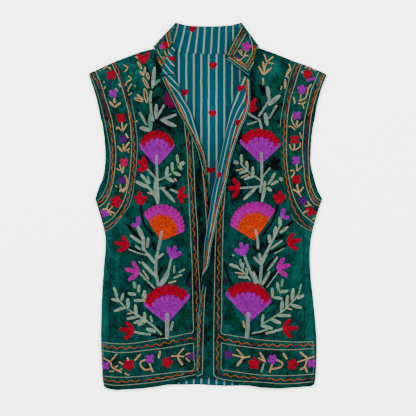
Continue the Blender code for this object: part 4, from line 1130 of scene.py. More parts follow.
def thread_material():
    """Stranded thread, which takes its colour from the piece's own attribute: the dye, with the painted shade of the
    links and the rows' fading.
    """
    material, tree, shader = new_material("embroidery thread", 0.75, 0.014)
    place = node(tree, "ShaderNodeTexCoord").outputs["Object"]
    # The attribute holds the dye with the painted shade of the links
    dye = node(tree, "ShaderNodeAttribute", attribute_name="thread").outputs["Color"]
    worn = noise(tree, place, WORN, 3.0)
    strands = noise(tree, place, STRANDS)
    tone = math_of(tree, "MULTIPLY_ADD", worn, 0.5, math_of(tree, "MULTIPLY_ADD", strands, 0.5, 0.3))
    # Dark speckles of painted shade between the stitches
    speckles = noise(tree, place, SHADED_SPECKLES, 1.0)
    speckle_shade = {"Value": speckles, "From Min": 0.34, "From Max": 0.48, "To Min": 0.45, "To Max": 1.1}
    tone = math_of(tree, "MULTIPLY", tone, node(tree, "ShaderNodeMapRange", speckle_shade).outputs[0])
    mixed = {"Factor": 1.0, 6: dye, 7: tone}
    tint = node(tree, "ShaderNodeMix", mixed, data_type="RGBA", blend_type="MULTIPLY")
    tree.links.new(tint.outputs[2], shader.inputs["Base Color"])
    bump(tree, shader, strands, 0.5, 0.0004)
    return material


def floor_material():
    """A plain pale floor with a faint grain."""
    material, tree, shader = new_material("pale floor", 0.9, 0.1)
    place = node(tree, "ShaderNodeTexCoord").outputs["Object"]
    grain = noise(tree, place, 60.0)
    color = ramp(tree, grain, [(0.3, (0.93, 0.93, 0.925, 1)), (0.7, (0.95, 0.95, 0.945, 1))])
    tree.links.new(color, shader.inputs["Base Color"])
    return material


def even(start, end, count):
    """The ends of this many equal steps."""
    return list(np.linspace(start, end, count + 1)[1:])


def front_of(side):
    """A front's shape, and the section from which its edge is rolled."""
    if side == "left":
        shape = Front(LEFT_SECTIONS, LEFT_HEM, LEFT_SHOULDER_AND_NECK, LEFT_MATERIAL, LEFT_FLAP_DROP, 1)
        return shape, LEFT_ROLL_STARTS
    shape = Front(RIGHT_SECTIONS, RIGHT_HEM, RIGHT_SHOULDER_AND_NECK, RIGHT_MATERIAL, RIGHT_FLAP_DROP, -1)
    return shape, RIGHT_ROLL_STARTS


@functools.cache
def front_grids(side):
    """A front's shape, velvet, velvet normals, lining and facing, and how far these two lie from the bend.

    The lining and the facing lie under the velvet's own columns, one up to their seam and one beyond it.
    """
    front, roll_starts = front_of(side)
    first_stripe, closeness, lean, lean_from = ROLL_STRIPES[side]
    middle = []
    for row in range(front.last + 1):
        material = front.rows[row][4]
        seam = 2 - FACING_WIDTH / material
        shares = [step / FLAT_COLUMNS for step in range(FLAT_COLUMNS + 1)]
        shares += even(1, seam, TURN_COLUMNS) + even(seam, 2, FACING_COLUMNS)
        middle.append([front.point(row, share) for share in shares])
    middle = np.array(middle)
    seam = FLAT_COLUMNS + TURN_COLUMNS
    out = front.toward * facing_out(middle)
    velvet_up = out.copy()
    out[:, : FLAT_COLUMNS + 1] = (0, 0, 1)
    under = middle - LINING_OFFSET * out
    steps = np.linalg.norm(np.diff(under, axis=1, prepend=under[:, :1]), axis=2)
    from_bend = np.cumsum(steps, axis=1)
    close = np.interp(under[:, FLAT_COLUMNS, 1], *zip(*closeness))[:, None]
    from_bend = (from_bend - from_bend[:, FLAT_COLUMNS, None] - first_stripe) * close
    from_bend -= lean * np.clip(under[:, :, 1] - lean_from, 0, None)
    first, tuck = roll_starts * FINE_ROWS, int(FLAT_COLUMNS * TUCK_SHARE)
    lining, facing = under[first:, tuck : seam + 1].copy(), under[first:, seam:].copy()
    lining[:, -1] += (lining[:, -2] - lining[:, -1]) * SEAM_SHARE
    facing[:, 0] += (facing[:, 1] - facing[:, 0]) * SEAM_SHARE
    beyond = from_bend[first:, tuck : seam + 1], from_bend[first:, seam:]
    return front, middle, velvet_up, (lining, facing), beyond


def make_front(side, velvet, cotton):
    """One front's velvet, lining and facing."""
    front, middle, _, (lining, facing), (lining_across, facing_across) = front_grids(side)
    flip = slice(None, None, front.toward)
    painted_light = bells(PAINTED_SHEEN_AND_SHADE, middle[:, :, 0], middle[:, :, 1])
    print_from = LEFT_PRINT_FROM if side == "left" else RIGHT_PRINT_FROM
    on_velvet = [f"embroidery_{side}_lines", f"embroidery_{side}_flowers"]
    for name, grid, thickness, material, across, sewn_on in (
        ("velvet", middle, VELVET, velvet, middle[:, :, 0], on_velvet),
        ("lining", lining, LINING, cotton, lining_across, []),
        ("facing", facing, LINING, velvet, facing_across, [f"embroidery_{side}_edge"]),
    ):
        # The velvet takes its painted sheen and shade; the lining and the facing a little painted light
        shade = painted_light if name == "velvet" else np.full(grid.shape[:2], ROLL_PAINTED_LIGHT)
        grid, across, shade = grid[:, flip], across[:, flip], shade[:, flip]
        up = grid[:, :, 1] + print_from
        piece = shell(f"waistcoat_front_{side}_{name}", grid, thickness, material, across, up, shade)
        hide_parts(f"front_{side}_{name}")


def back_grid(height, inset):
    """Flat rows between the back's two sides, bent at the bottom to the hem and at the top to the neck."""
    left, right = (smooth_rows(side, {UNDERARM}, BACK_ROWS_PER_SECTION) for side in (BACK_LEFT_SIDE, BACK_RIGHT_SIDE))
    last = len(left) - 1
    grid = []
    for row in range(last + 1):
        part = row / last
        to_hem = 1 - ease(part, *BACK_HEM_BEND)
        to_neck = ease(part, *BACK_NECK_BEND) ** NECK_BEND_POWER
        points = []
        for share in np.linspace(0, 1, BACK_COLUMNS + 1):
            place = left[row] + (right[row] - left[row]) * share
            hem = along(BACK_HEM, share) - (left[0] + (right[0] - left[0]) * share)
            neck = along(BACK_SHOULDERS_AND_NECK, share) - (left[last] + (right[last] - left[last]) * share)
            x, y = place + to_hem * hem + to_neck * neck
            x -= inset * (2 * share - 1)
            y -= inset * (2 * part - 1)
            points.append((x, y, height))
        grid.append(points)
    return np.array(grid)


def make_back(velvet, cotton):
    """The back's velvet, which lies on the table, and its lining on top."""
    for name, grid, thickness, material in (
        ("velvet", back_grid(BACK_HEIGHT, 0), VELVET, velvet),
        ("lining", back_grid(BACK_LINING_HEIGHT, BACK_LINING_INSET), LINING, cotton),
    ):
        x, y = grid[:, :, 0], grid[:, :, 1]
        # The back's lining takes painted light and shade; its velvet none
        shade = bells(LINING_SHADE if name == "lining" else (), x, y)
        across = np.interp(x, *zip(*BACK_STRIPES))
        piece = shell(f"waistcoat_back_{name}", grid, thickness, material, across, y, shade)
        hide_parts(f"back_{name}")


def collar_stripes(middle, run, shares):
    """How far across the stripes each point lies: they stand nearly upright at the back of the neck."""
    x = middle[:, :, 0]
    slant = np.interp(x, *zip(*COLLAR_SLANT))
    behind = slice(BACK_RIBS[0] * STEPS_PER_RIB, BACK_RIBS[1] * STEPS_PER_RIB + 1)
    across = run + COLLAR_STRIPE_AT
    closer = COLLAR_CLOSER * np.clip(COLLAR_CLOSER_FROM - x, 0, None)
    across[behind] = (x + closer - slant * shares[None, :])[behind] + COLLAR_STRIPE_AT
    end = slice(0, LEFT_END_RIBS * STEPS_PER_RIB)
    to_right, upwards, at = LEFT_END_STRIPES
    across[end] = (to_right * x + upwards * middle[:, :, 1] + at)[end]
    return across


@functools.cache
def collar_grids():
    """The collar's velvet and lining, how far along the band each rib lies, and the shares of its height."""
    ribs = smooth_rows([rib[1:] for rib in COLLAR_RIBS], set(), STEPS_PER_RIB)
    shares = np.linspace(0, 1, COLLAR_COLUMNS + 1)
    middle = np.array([[rib[:3] + (rib[3:] - rib[:3]) * share for share in shares] for rib in ribs])
    lining = middle - LINING_OFFSET * facing_out(middle)
    behind = slice(BACK_RIBS[0] * STEPS_PER_RIB, BACK_RIBS[1] * STEPS_PER_RIB + 1)
    lining[behind, 0] += NECK_SEAM_LAP
    lining[behind, 1] += NECK_SEAM_LAP * SECOND_LAP
    run = walked(middle[:, COLLAR_COLUMNS // 2])[:, None] * np.ones(COLLAR_COLUMNS + 1)
    return middle, lining, run, shares


def make_collar(velvet, cotton):
    """The collar band's velvet and lining."""
    middle, lining, run, shares = collar_grids()
    for name, grid, thickness, material, sewn_on in (
        ("velvet", middle, VELVET, velvet, ["embroidery_collar"]),
        ("lining", lining, LINING, cotton, []),
    ):
        # The collar's velvet is drawn lighter by painted light; its lining takes none
        shade = np.full(grid.shape[:2], COLLAR_PAINTED_LIGHT if name == "velvet" else 0.0)
        across = collar_stripes(middle, run, shares)
        up = shares[None, :] * COLLAR_HEIGHT * np.ones_like(run) + COLLAR_PRINT_FROM
        piece = shell(f"waistcoat_collar_{name}", grid, thickness, material, across, up, shade)
        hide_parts(f"collar_{name}")


# How deep thread takes up dye, and how dark the painted shade in the slits between lobes is drawn
DYE_DEPTH, SLIT_SHADE = 0.36, 0.14


def dye(red, green, blue):
    """A dye from its everyday 8-bit numbers, as deep as thread takes it up."""
    return tuple(DYE_DEPTH * (value / 255) ** 2.2 for value in (red, green, blue))


# Threads, by their dye, and dark copies of four dyes: painted shade for the slits between lobes, where dark_purple
# also fills two petals
THREADS = {
    "red": dye(176, 0, 44),
    "deep_red": dye(128, 0, 26),
    "purple": dye(160, 20, 172),
    "plum": dye(92, 20, 120),
    "magenta": dye(186, 0, 158),
    "pink": dye(196, 14, 84),
    "berry": dye(112, 0, 68),
    "orange": dye(222, 62, 0),
    "rust": dye(204, 92, 10),
    "sage": dye(146, 172, 150),
    "mint": dye(92, 150, 128),
    "grey": dye(142, 160, 150),
    "tan": dye(206, 162, 112),
    "peach": dye(222, 176, 142),
    "cream": dye(180, 164, 126),
    "pearl": dye(168, 176, 160),
    "stone": dye(130, 140, 126),
    "ash": dye(156, 162, 136),
    "black": dye(18, 20, 24),
    "navy": dye(0, 34, 72),
    "leaf": dye(0, 92, 52),
    "aqua": dye(88, 150, 144),
    "blue": dye(60, 70, 130),
    "seam": dye(0, 26, 22),
    "amber": dye(214, 98, 6),
    "moss": dye(66, 108, 58),
    "fern": dye(0, 76, 48),
    "pine": dye(0, 70, 44),
    "teal": dye(10, 104, 90),
}
for name in ("red", "purple", "magenta", "orange"):
    THREADS["dark_" + name] = tuple(value * SLIT_SHADE for value in THREADS[name])
# Threads dyed by turns, and the length of each turn; variegated starts anywhere, the others at a row's start
DYED_BY_TURNS = {
    "variegated": "rust amber orange rust red deep_red rust amber rust amber".split(),
    "sunset": (
        "rust rust orange red orange rust orange red rust orange deep_red red deep_red berry plum berry plum "
        "plum plum plum plum plum berry rust amber rust amber rust orange rust amber rust orange rust amber"
    ).split(),
    "harvest": (
        "orange rust orange red deep_red red rust red rust deep_red red rust orange rust amber rust amber "
        "amber rust amber amber rust amber amber rust amber rust amber amber rust orange rust orange rust "
        "orange rust orange red orange rust"
    ).split(),
    "autumn": (
        "orange rust orange deep_red berry red deep_red berry deep_red red red rust amber rust red rust red "
        "rust amber rust amber amber rust amber rust orange rust amber rust amber rust orange rust orange "
        "rust amber rust orange rust orange"
    ).split(),
}
DYE_STEP = 9.0

# Chain stitch: the length of a link, the widths of rows, their height, and their foot below the pile's tips
LINK = 3.3
ROW_WIDTH, LOOP_WIDTH, LINE_WIDTH = 2.15, 2.3, 1.75
STITCH_HEIGHT, SUNK = 0.85, -0.25
# Steps between two points of a curve, the shortest row, and the fewest stations of one that its cloth's edge cuts
CURVE_STEPS, SHORTEST_ROW, FEWEST_STATIONS = 8, 1.2, 5
# How much a row fades and darkens again along its length
FADED, FADE_SWING, FADE_RATE = 0.93, 0.07, 1.7
SEAM_WIDTH, SEAM_SUNK, VEIN_LIFT = 1.3, -0.35, 0.6
EDGE_ROW_INSET, EDGE_ROW_PERIOD = 3.0, 6.0
# A row's section: places across, then its width, heights and painted shades where a link joins the last and where it
# loops, darker at the edges and in a loop's middle, lighter on its two crests
ACROSS = (-1, -0.6, 0, 0.6, 1, -1)
JOINT, LOOP = (0.62, (0, 0.75, 0.85, 0.75, 0, 0)), (1.0, (0, 1, 0.25, 1, 0, 0))
JOINT_SHADE, LOOP_SHADE = (0.4, 0.7, 0.75, 0.7, 0.4, 0.4), (0.45, 1.1, 0.45, 1.1, 0.45, 0.45)
LINK_STATIONS = ((0.1, JOINT, JOINT_SHADE), (0.4, LOOP, LOOP_SHADE), (0.75, LOOP, LOOP_SHADE))
# A smooth cord's section, with painted shade at its sides
PIPING, PIPING_SHADE = (1.0, (0, 0.75, 0.95, 0.75, 0, 0)), (0.6, 0.9, 1.0, 0.9, 0.6, 0.6)
PIPING_STATIONS = tuple((share, PIPING, PIPING_SHADE) for share, _, _ in LINK_STATIONS)
# Zigzags: how near their corners come to points, the height of that wave, and their shadow
ZIGZAG_POINT, ZIGZAG_PEAK = 0.97, 1.327
SHADOW_WIDTH, SHADOW_LIFT, SHADOW_HEIGHT = 0.8, -0.1, 0.6
# Stems, leaves and petals: the width of their ends, a petal's foot and where it is widest, and how rows overlap
BLADE_END, STEM_END = 0.02, 0.15
PETAL_FOOT, PETAL_BELLY = 0.3, 0.6
ROW_OVERLAP, LEAF_OVERLAP, ROW_STEP = 1.12, 0.86, 0.05
# Tulips and flowers: the width of petals, how each lies over the last, and the eye
TULIP_PETAL, TULIP_STEP = 8.6, 0.12
FIVE_PETALS, FOUR_PETALS, PETAL_START, PETAL_STEP = 0.36, 0.42, 0.6, 0.1
EYE_REACH, EYE_WIDTH, EYE_LIFT = 1, 2.0, 0.6
# Fans: places round the arc, how sharp the scallops are, and where each kind of ray starts
FAN_PLACES, RIM_SCALLOP, BODY_SCALLOP, BODY_DEEPER = 480, 0.6, 0.8, 1.6
FAN_SPREAD, FAN_STARTS, SHORTEST_RAY, RAY_WIDTH = 0.985, (0.08, 0.27, 0.52), 2, 1.05
# The gaps between body and rim, the slits of painted shade between lobes, and the wings at the sides
BODY_GAP, RIM_GAP, ARC_GAP = 0.6, 0.8, 0.9
SLIT_FROM, SLIT_TO, SLIT_WIDTH, SLIT_LIFT = 4.4, 0.3, 1.25, 0.5
WING, ARC_CLEAR, SLIT_CLEAR = 0.07, 0.08, 0.1
# The ground: how high rays start, how upright a face is to be sewn on, and the strip along a rolled edge
RAY_HEIGHT, UPRIGHT = 60, 0.5
EDGE_STRIP, EDGE_MEASURED = (0.2, 24, 60), 10


class Ground:
    """The side of a cloth that is sewn on: points dropped on it from above land with its normal."""

    def __init__(self, grid, normals, offset):
        top = grid + normals * offset
        rows, columns = top.shape[:2]
        faces = []
        facing = normals[:-1, :-1, 2] + normals[1:, 1:, 2]
        for row in range(rows - 1):
            for column in range(columns - 1):
                if facing[row, column] > UPRIGHT:
                    corner = row * columns + column
                    faces.append((corner, corner + 1, corner + columns + 1, corner + columns))
        self.tree = BVHTree.FromPolygons([tuple(place) for place in top.reshape(-1, 3)], faces)

    def land(self, points):
        """The places and normals under points from above, with no number where there is no cloth."""
        places, normals = [], []
        for x, y in points:
            place, normal, _, _ = self.tree.ray_cast(Vector((x, y, RAY_HEIGHT)), Vector((0, 0, -1)))
            if place is None:
                places.append((np.nan,) * 3)
                normals.append((0, 0, 1))
            else:
                places.append(tuple(place))
                normals.append(tuple(normal if normal.z > 0 else -normal))
        return np.array(places), np.array(normals)


class EdgeGround:
    """The upper side of a rolled edge: a point is its run along the edge and its way in from the free edge."""

    def __init__(self, front, first):
        self.steps = np.linspace(*EDGE_STRIP)
        grid = []
        for row in range(first, front.last + 1):
            material = front.rows[row][4]
            grid.append([front.point(row, 2 - step / material) for step in self.steps])
        middle = np.array(grid)
        out = -front.toward * facing_out(middle)
        self.places = middle - out * (LINING_OFFSET + LINING / 2)
        self.normals = -out
        self.run = walked(self.places[:, EDGE_MEASURED])
        self.length = self.run[-1]

    def land(self, points):
        """The places and normals at points of run and way in."""
        points = np.array(points)
        row = np.interp(points[:, 0], self.run, np.arange(len(self.run)))
        column = np.interp(points[:, 1], self.steps, np.arange(len(self.steps)))
        i = np.minimum(row.astype(int), len(self.run) - 2)
        j = np.minimum(column.astype(int), len(self.steps) - 2)
        u, v = (row - i)[:, None], (column - j)[:, None]
        return tuple(
            (table[i, j] * (1 - u) + table[i + 1, j] * u) * (1 - v)
            + (table[i, j + 1] * (1 - u) + table[i + 1, j + 1] * u) * v
            for table in (self.places, self.normals)
        )


def curve(points, step=1.2):
    """A smooth line through a few points, at about even steps."""
    points = np.array(points, float).reshape(-1, 2)
    if len(points) > 2:
        points = smooth_rows(points, set(), CURVE_STEPS)
    run = walked(points)
    return at_runs(np.linspace(0, run[-1], max(int(run[-1] / step), 2) + 1), run, points)


def beside(points, distance):
    """A line moved sideways, to its left where the distance is above 0; the distance may change along it."""
    way = np.gradient(points, axis=0)
    way /= np.maximum(np.linalg.norm(way, axis=1, keepdims=True), 1e-9)
    return points + np.stack([-way[:, 1], way[:, 0]], axis=1) * np.reshape(distance, (-1, 1))


def blade_profile(shape, share, length, width):
    """How wide a leaf, petal or stem is at shares of its length, as shares of its full width."""
    if shape == "leaf":
        return np.sin(np.pi * np.clip(share, BLADE_END, 1 - BLADE_END)) ** 0.5
    if shape == "petal":
        swell = PETAL_FOOT + (1 - PETAL_FOOT) * np.sin(share / PETAL_BELLY * np.pi / 2)
        beyond = ((share - PETAL_BELLY) / (1 - PETAL_BELLY)).clip(0)
        return np.where(share < PETAL_BELLY, swell, 1) * np.sqrt(np.clip(1 - beyond**2, BLADE_END, 1))
    end = np.minimum(share, 1 - share) * length / max(width * 0.5, 0.1)
    return np.clip(end, STEM_END, 1) ** 0.5


class Needlework:
    """Rows of chain stitch on one piece of cloth, gathered and then made as one mesh."""

    def __init__(self, name, ground):
        self.name, self.ground = name, ground
        self.rows = []

    def row(self, points, thread, width=ROW_WIDTH, lift=0.0, height=STITCH_HEIGHT, stations=LINK_STATIONS):
        """One row along a line, of one thread or of one that is dyed by turns."""
        points = np.array(points, float)
        run = walked(points)
        if run[-1] < SHORTEST_ROW:
            return
        links = max(int(round(run[-1] / LINK)), 1)
        stops = [0] + [link + share for link in range(links) for share, _, _ in stations] + [links]
        stops = np.array(stops) / links * run[-1]
        line = at_runs(stops, run, points)
        places, normals = self.ground.land(line)
        kept = np.flatnonzero(~np.isnan(places[:, 0]))
        if len(kept) < len(line):
            for part in np.split(kept, np.flatnonzero(np.diff(kept) > 1) + 1):
                if len(part) > FEWEST_STATIONS:
                    self.row(line[part], thread, width, lift, height, stations)
            return
        size = len(stops), len(ACROSS)
        widths, heights, shades = np.zeros(size), np.zeros(size), np.ones(size)
        for number, (_, (wide, bulge), shade) in enumerate(stations):
            here = slice(1 + number, -1, len(stations))
            widths[here] = np.array(ACROSS) * wide * width / 2
            heights[here] = np.array(bulge) * (height - SUNK)
            shades[here] = shade
        side = np.cross(np.gradient(places, axis=0), normals)
        side /= np.maximum(np.linalg.norm(side, axis=1, keepdims=True), 1e-9)
        up = normals[:, None, :] * (heights + SUNK + lift)[:, :, None]
        verts = places[:, None, :] + side[:, None, :] * widths[:, :, None] + up
        if thread in DYED_BY_TURNS:
            turns = DYED_BY_TURNS[thread]
            start = places[0, 0] + places[0, 1] if thread == "variegated" else 0
            at = (stops + start) / DYE_STEP
            colors = np.array([THREADS[turns[int(stop) % len(turns)]] for stop in at])
        else:
            colors = np.tile(THREADS[thread], (len(stops), 1))
        wear = FADED + FADE_SWING * np.sin(stops * FADE_RATE + places[0, 0])
        # The dye, darkened and lit by each station's painted shade and by the row's fading
        colors = colors[:, None, :] * (shades * wear[:, None])[:, :, None]
        self.rows.append((verts, colors))

    def zigzag(self, points, period, swing, thread, width=LINE_WIDTH, shadow=0.0):
        """A row that swings from side to side of its line, with a thin dark row beside it."""
        line = curve(points, 0.8)
        run = walked(line)
        turn = 2 * math.pi * run / (run[-1] / max(round(run[-1] / period), 1))
        wave = np.arcsin(np.sin(turn) * ZIGZAG_POINT) / ZIGZAG_PEAK * swing
        if shadow:
            self.row(beside(line, shadow), "navy", width * SHADOW_WIDTH, SHADOW_LIFT, SHADOW_HEIGHT)
        self.row(beside(line, wave), thread, width)

    def blade(self, points, width, thread, shape, lift=0.0):
        """Rows side by side that fill a stem, leaf or petal, or one row round a loop, which stays open."""
        line = curve(points, 1.0)
        share = np.linspace(0, 1, len(line))
        if shape == "loop":
            half = (width - LOOP_WIDTH) / 2 * np.sin(np.pi * share) ** 0.7
            self.row(np.concatenate([beside(line, half), beside(line, -half)[::-1]]), thread, LOOP_WIDTH, lift)
            return
        length = np.linalg.norm(np.diff(line, axis=0), axis=1).sum()
        profile = blade_profile(shape, share, length, width)
        rows = max(int(round(width / ROW_WIDTH)), 1)
        gap = width / rows
        wide = gap * (LEAF_OVERLAP if shape == "leaf" and rows == 2 else ROW_OVERLAP)
        for number in range(rows):
            away = (number - (rows - 1) / 2) * gap
            self.row(beside(line, away * profile), thread, wide, lift + ROW_STEP * (number % 2))

    def tulip(self, tulip):
        """Rounded petals that spread from one base."""
        for number, tip in enumerate(tulip.tips):
            self.blade([tulip.base, tip], TULIP_PETAL, tulip.thread, "petal", TULIP_STEP * number)

    def flower(self, flower):
        """Petals round a centre, which may have an eye."""
        centre = np.array(flower.centre)
        wide = 2 * flower.radius * (FIVE_PETALS if flower.petals > 4 else FOUR_PETALS)
        for number in range(flower.petals):
            angle = math.radians(flower.turn) + 2 * math.pi * number / flower.petals
            way = np.array([math.sin(angle), math.cos(angle)])
            petal = [centre + way * PETAL_START, centre + way * flower.radius]
            self.blade(petal, wide, flower.thread, "petal", PETAL_STEP * (number % 2))
        if flower.eye:
            eye = [centre - (EYE_REACH, 0), centre + (EYE_REACH, 0)]
            self.blade(eye, EYE_WIDTH, flower.eye, "stem", EYE_LIFT)

    def lines_and_blades(self, lines, zigzags, blades):
        """All that is sewn of long rows, stems and leaves."""
        for item in lines:
            self.row(curve(item.points), item.thread, LINE_WIDTH)
        for item in zigzags:
            self.zigzag(item.points, item.period, item.swing, item.thread, shadow=item.shadow)
        for dyed, shape, strokes in blades:
            for width, *places in strokes:
                self.blade(places, width, dyed, shape, BLADE_LIFT)

    def fan(self, fan):
        """A sector of rows that spread from its foot, with a body and a rim that both end in scallops."""
        start, end, lean = (math.radians(turn) for turn in (fan.from_deg, fan.to_deg, fan.lean_deg))
        angles = np.linspace(start, end, FAN_PLACES)
        share = (angles - start) / (end - start)
        inside = np.sqrt(fan.radius**2 - (fan.away * np.sin(angles - lean)) ** 2)
        rim = fan.away * np.cos(angles - lean) + inside
        outer = rim - fan.scallop * (1 - np.abs(np.sin(np.pi * fan.lobes * share)) ** RIM_SCALLOP)
        dips = 1 - np.abs(np.sin(np.pi * fan.points * share)) ** BODY_SCALLOP
        body = rim * fan.body - fan.scallop * BODY_DEEPER * dips
        clear = np.minimum(share, 1 - share)
        if fan.winged:
            body = body + (outer - body) * (clear < WING)
        foot = np.array(fan.foot)

        def ray(angle, near, far, thread, width, lift):
            """A row straight out from the foot."""
            way = np.array([math.sin(angle), math.cos(angle)])
            if far - near > SHORTEST_RAY:
                self.row([foot + way * near, foot + way * far], thread, width, lift)

        count = 4 * int(round((end - start) * rim.max() / ROW_WIDTH / 4))
        for number in range(count + 1):
            at = (number / count - 0.5) * FAN_SPREAD + 0.5
            index = int(at * (len(angles) - 1))
            level = 0 if number % 4 == 0 else 1 if number % 2 == 0 else 2
            near = rim.max() * FAN_STARTS[level]
            width, lift = ROW_WIDTH * RAY_WIDTH, 0.02 * (number % 2)
            ray(angles[index], near, body[index] - BODY_GAP, fan.thread, width, lift)
            near = max(body[index] + BODY_GAP, near)
            ray(angles[index], near, outer[index] - RIM_GAP, fan.rim_thread, width, 0)
        ways = np.stack([np.sin(angles), np.cos(angles)], axis=1)
        kept = clear > ARC_CLEAR if fan.winged else clear >= 0
        for reach, thread, width, lift in (
            (outer - RIM_GAP, fan.rim_thread, 1.5, 0.18),
            (body - ARC_GAP, fan.thread, 1.6, 0.22),
        ):
            self.row((ways * reach[:, None] + foot)[kept], thread, width, lift)
        # Dark rows of painted shade in the slits between the lobes
        for lobes, far, thread in ((fan.lobes, outer, fan.rim_thread), (fan.points, body, fan.thread)):
            for lobe in range(1, lobes):
                index = int(lobe / lobes * (len(angles) - 1))
                if not fan.winged or clear[index] > SLIT_CLEAR:
                    slit = far[index] - SLIT_FROM, far[index] - SLIT_TO
                    ray(angles[index], *slit, "dark_" + thread, SLIT_WIDTH, SLIT_LIFT)
        for angle, index, inner in ((start, 0, 1.0), (end, -1, -1.0)):
            way = np.array([math.sin(angle), math.cos(angle)])
            side = np.array([way[1], -way[0]]) * inner
            far = outer[index] if fan.winged else body[index]
            self.row([foot + side, foot + way * far + side], fan.thread, ROW_WIDTH * 1.1, 0.15)
            if not fan.winged:
                rim_side = [foot + way * far + side, foot + way * outer[index] + side]
                self.row(rim_side, fan.rim_thread, ROW_WIDTH, 0.1)

    def make(self, material):
        """All rows as one closed mesh: a long strip, cut between rows and joined under each row."""
        stations = [len(verts) for verts, _ in self.rows]
        sides = len(ACROSS) - 1
        mesh = bpy.data.meshes.new(self.name)
        strip = bmesh.new()
        bmesh.ops.create_grid(strip, x_segments=sides, y_segments=sum(stations) - 1, size=1)
        strip.faces.ensure_lookup_table()
        ends = np.cumsum(stations)[:-1]
        between = [strip.faces[(end - 1) * sides + column] for end in ends for column in range(sides)]
        bmesh.ops.delete(strip, geom=between, context="FACES_ONLY")
        loose = [edge for edge in strip.edges if not edge.link_faces]
        bmesh.ops.delete(strip, geom=loose, context="EDGES")
        strip.to_mesh(mesh)
        strip.free()
        places = np.concatenate([verts.reshape(-1, 3) for verts, _ in self.rows])
        colors = np.concatenate([shades.reshape(-1, 3) for _, shades in self.rows])
        mesh.vertices.foreach_set("co", ((places + np.array(PLACED)) * MM).ravel())
        # The thread attribute holds each row's dye with its painted shade
        dyes_and_shade = mesh.attributes.new("thread", "FLOAT_COLOR", "POINT")
        dyes_and_shade.data.foreach_set("color", np.column_stack([colors, np.ones(len(colors))]).ravel())
        joined = bmesh.new()
        joined.from_mesh(mesh)
        bmesh.ops.remove_doubles(joined, verts=joined.verts[:], dist=1e-7)
        joined.to_mesh(mesh)
        joined.free()
        mesh.polygons.foreach_set("use_smooth", np.ones(len(mesh.polygons), bool))
        mesh.materials.append(material)
        piece = bpy.data.objects.new(self.name, mesh)
        bpy.context.scene.collection.objects.link(piece)
        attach(piece, "root")


def sew_front(side, lines, seams, zigzags, blades, tulips, fans, flowers, edge_rows, thread):
    """One front's embroidery, as three meshes: its lines and leaves, its flowers, and its rolled edge."""
    front, middle, velvet_up, _, _ = front_grids(side)
    ground = Ground(middle, velvet_up, VELVET / 2)
    leaves = Needlework(f"embroidery_{side}_lines", ground)
    blooms = Needlework(f"embroidery_{side}_flowers", ground)
    edge = Needlework(f"embroidery_{side}_edge", EdgeGround(front, front_of(side)[1] * FINE_ROWS))
    for item in seams:
        leaves.row(curve(item.points), item.thread, SEAM_WIDTH, SEAM_SUNK if item.thread == "seam" else VEIN_LIFT)
    leaves.lines_and_blades(lines, zigzags, blades)
    for item in fans:
        blooms.fan(item)
    for item in tulips:
        blooms.tulip(item)
    for item in flowers:
        blooms.flower(item)
    end = edge.ground.length - EDGE_ROW_INSET
    for away, dyed, width, swing in edge_rows:
        along_edge = [(EDGE_ROW_INSET, away), (end / 2, away), (end, away)]
        if swing:
            edge.zigzag(along_edge, EDGE_ROW_PERIOD, swing, dyed, width)
        else:
            edge.row(curve(along_edge), dyed, width, 0, STITCH_HEIGHT, PIPING_STATIONS)
    for work in (leaves, blooms, edge):
        work.make(thread)


def sew_collar(thread):
    """The collar's embroidery, as one mesh."""
    middle = collar_grids()[0]
    work = Needlework("embroidery_collar", Ground(middle, facing_out(middle), VELVET / 2))
    work.lines_and_blades(COLLAR_LINES, COLLAR_ZIGZAGS, COLLAR_BLADES)
    for item in COLLAR_FLOWERS:
        work.flower(item)
    work.make(thread)


COLOR = {"subtype": "COLOR", "size": 3, "min": 0, "max": 1}


class CLOTH_PG_sizes(bpy.types.PropertyGroup):
    """The colours of the cloth, and the size of the floor"""

    # The velvet's dark and pale ends serve both its crushed pile's random mottling and its painted shade and sheen
    velvet_dark_and_shade: bpy.props.FloatVectorProperty(
        name="Dark velvet", description="The pile where it leans to the eye",
        default=(0.0, 0.0016, 0.0014), **COLOR,
    )
    velvet_green: bpy.props.FloatVectorProperty(
        name="Velvet", description="The velvet's own green", default=(0.0, 0.0105, 0.0086), **COLOR,
    )
    velvet_pale_and_sheen: bpy.props.FloatVectorProperty(
        name="Velvet sheen", description="The pile where it leans away", default=(0.001, 0.027, 0.023), **COLOR,
    )
    cotton_teal: bpy.props.FloatVectorProperty(
        name="Lining", description="The lining's ground", default=(0.0, 0.0225, 0.0312), **COLOR,
    )
    cotton_dark: bpy.props.FloatVectorProperty(
        name="Dark lining", description="The darker threads of the lining's ground",
        default=(0.0, 0.013, 0.019), **COLOR,
    )
    cotton_stripe: bpy.props.FloatVectorProperty(
        name="Lining stripe", description="The lining's pale stripes", default=(0.074, 0.09, 0.078), **COLOR,
    )
    cotton_heart: bpy.props.FloatVectorProperty(
        name="Lining heart", description="The hearts printed on the lining", default=(0.062, 0.0, 0.0035), **COLOR,
    )
    floor_size: bpy.props.FloatProperty(
        name="Floor", description="Width of the floor", subtype="DISTANCE", unit="LENGTH",
        min=1.0, default=6.0,
    )


def material_named(name, make):
    """The material of this name, made when it is first asked for."""
    return bpy.data.materials.get(name) or make()


def velvet_and_cotton(context):
    """The two cloths' materials, in the user's colours."""
    settings = context.scene.waistcoat
    velvet = material_named("crushed velvet", lambda: velvet_material(settings))
    return velvet, material_named("striped cotton", lambda: cotton_material(settings))


class MESH_OT_waistcoat_back(bpy.types.Operator):
    """Build the back, velvet side down, with its striped lining"""

    bl_idname = "mesh.waistcoat_back"
    bl_label = "Back"

    def execute(self, context):
        make_back(*velvet_and_cotton(context))
        return {"FINISHED"}


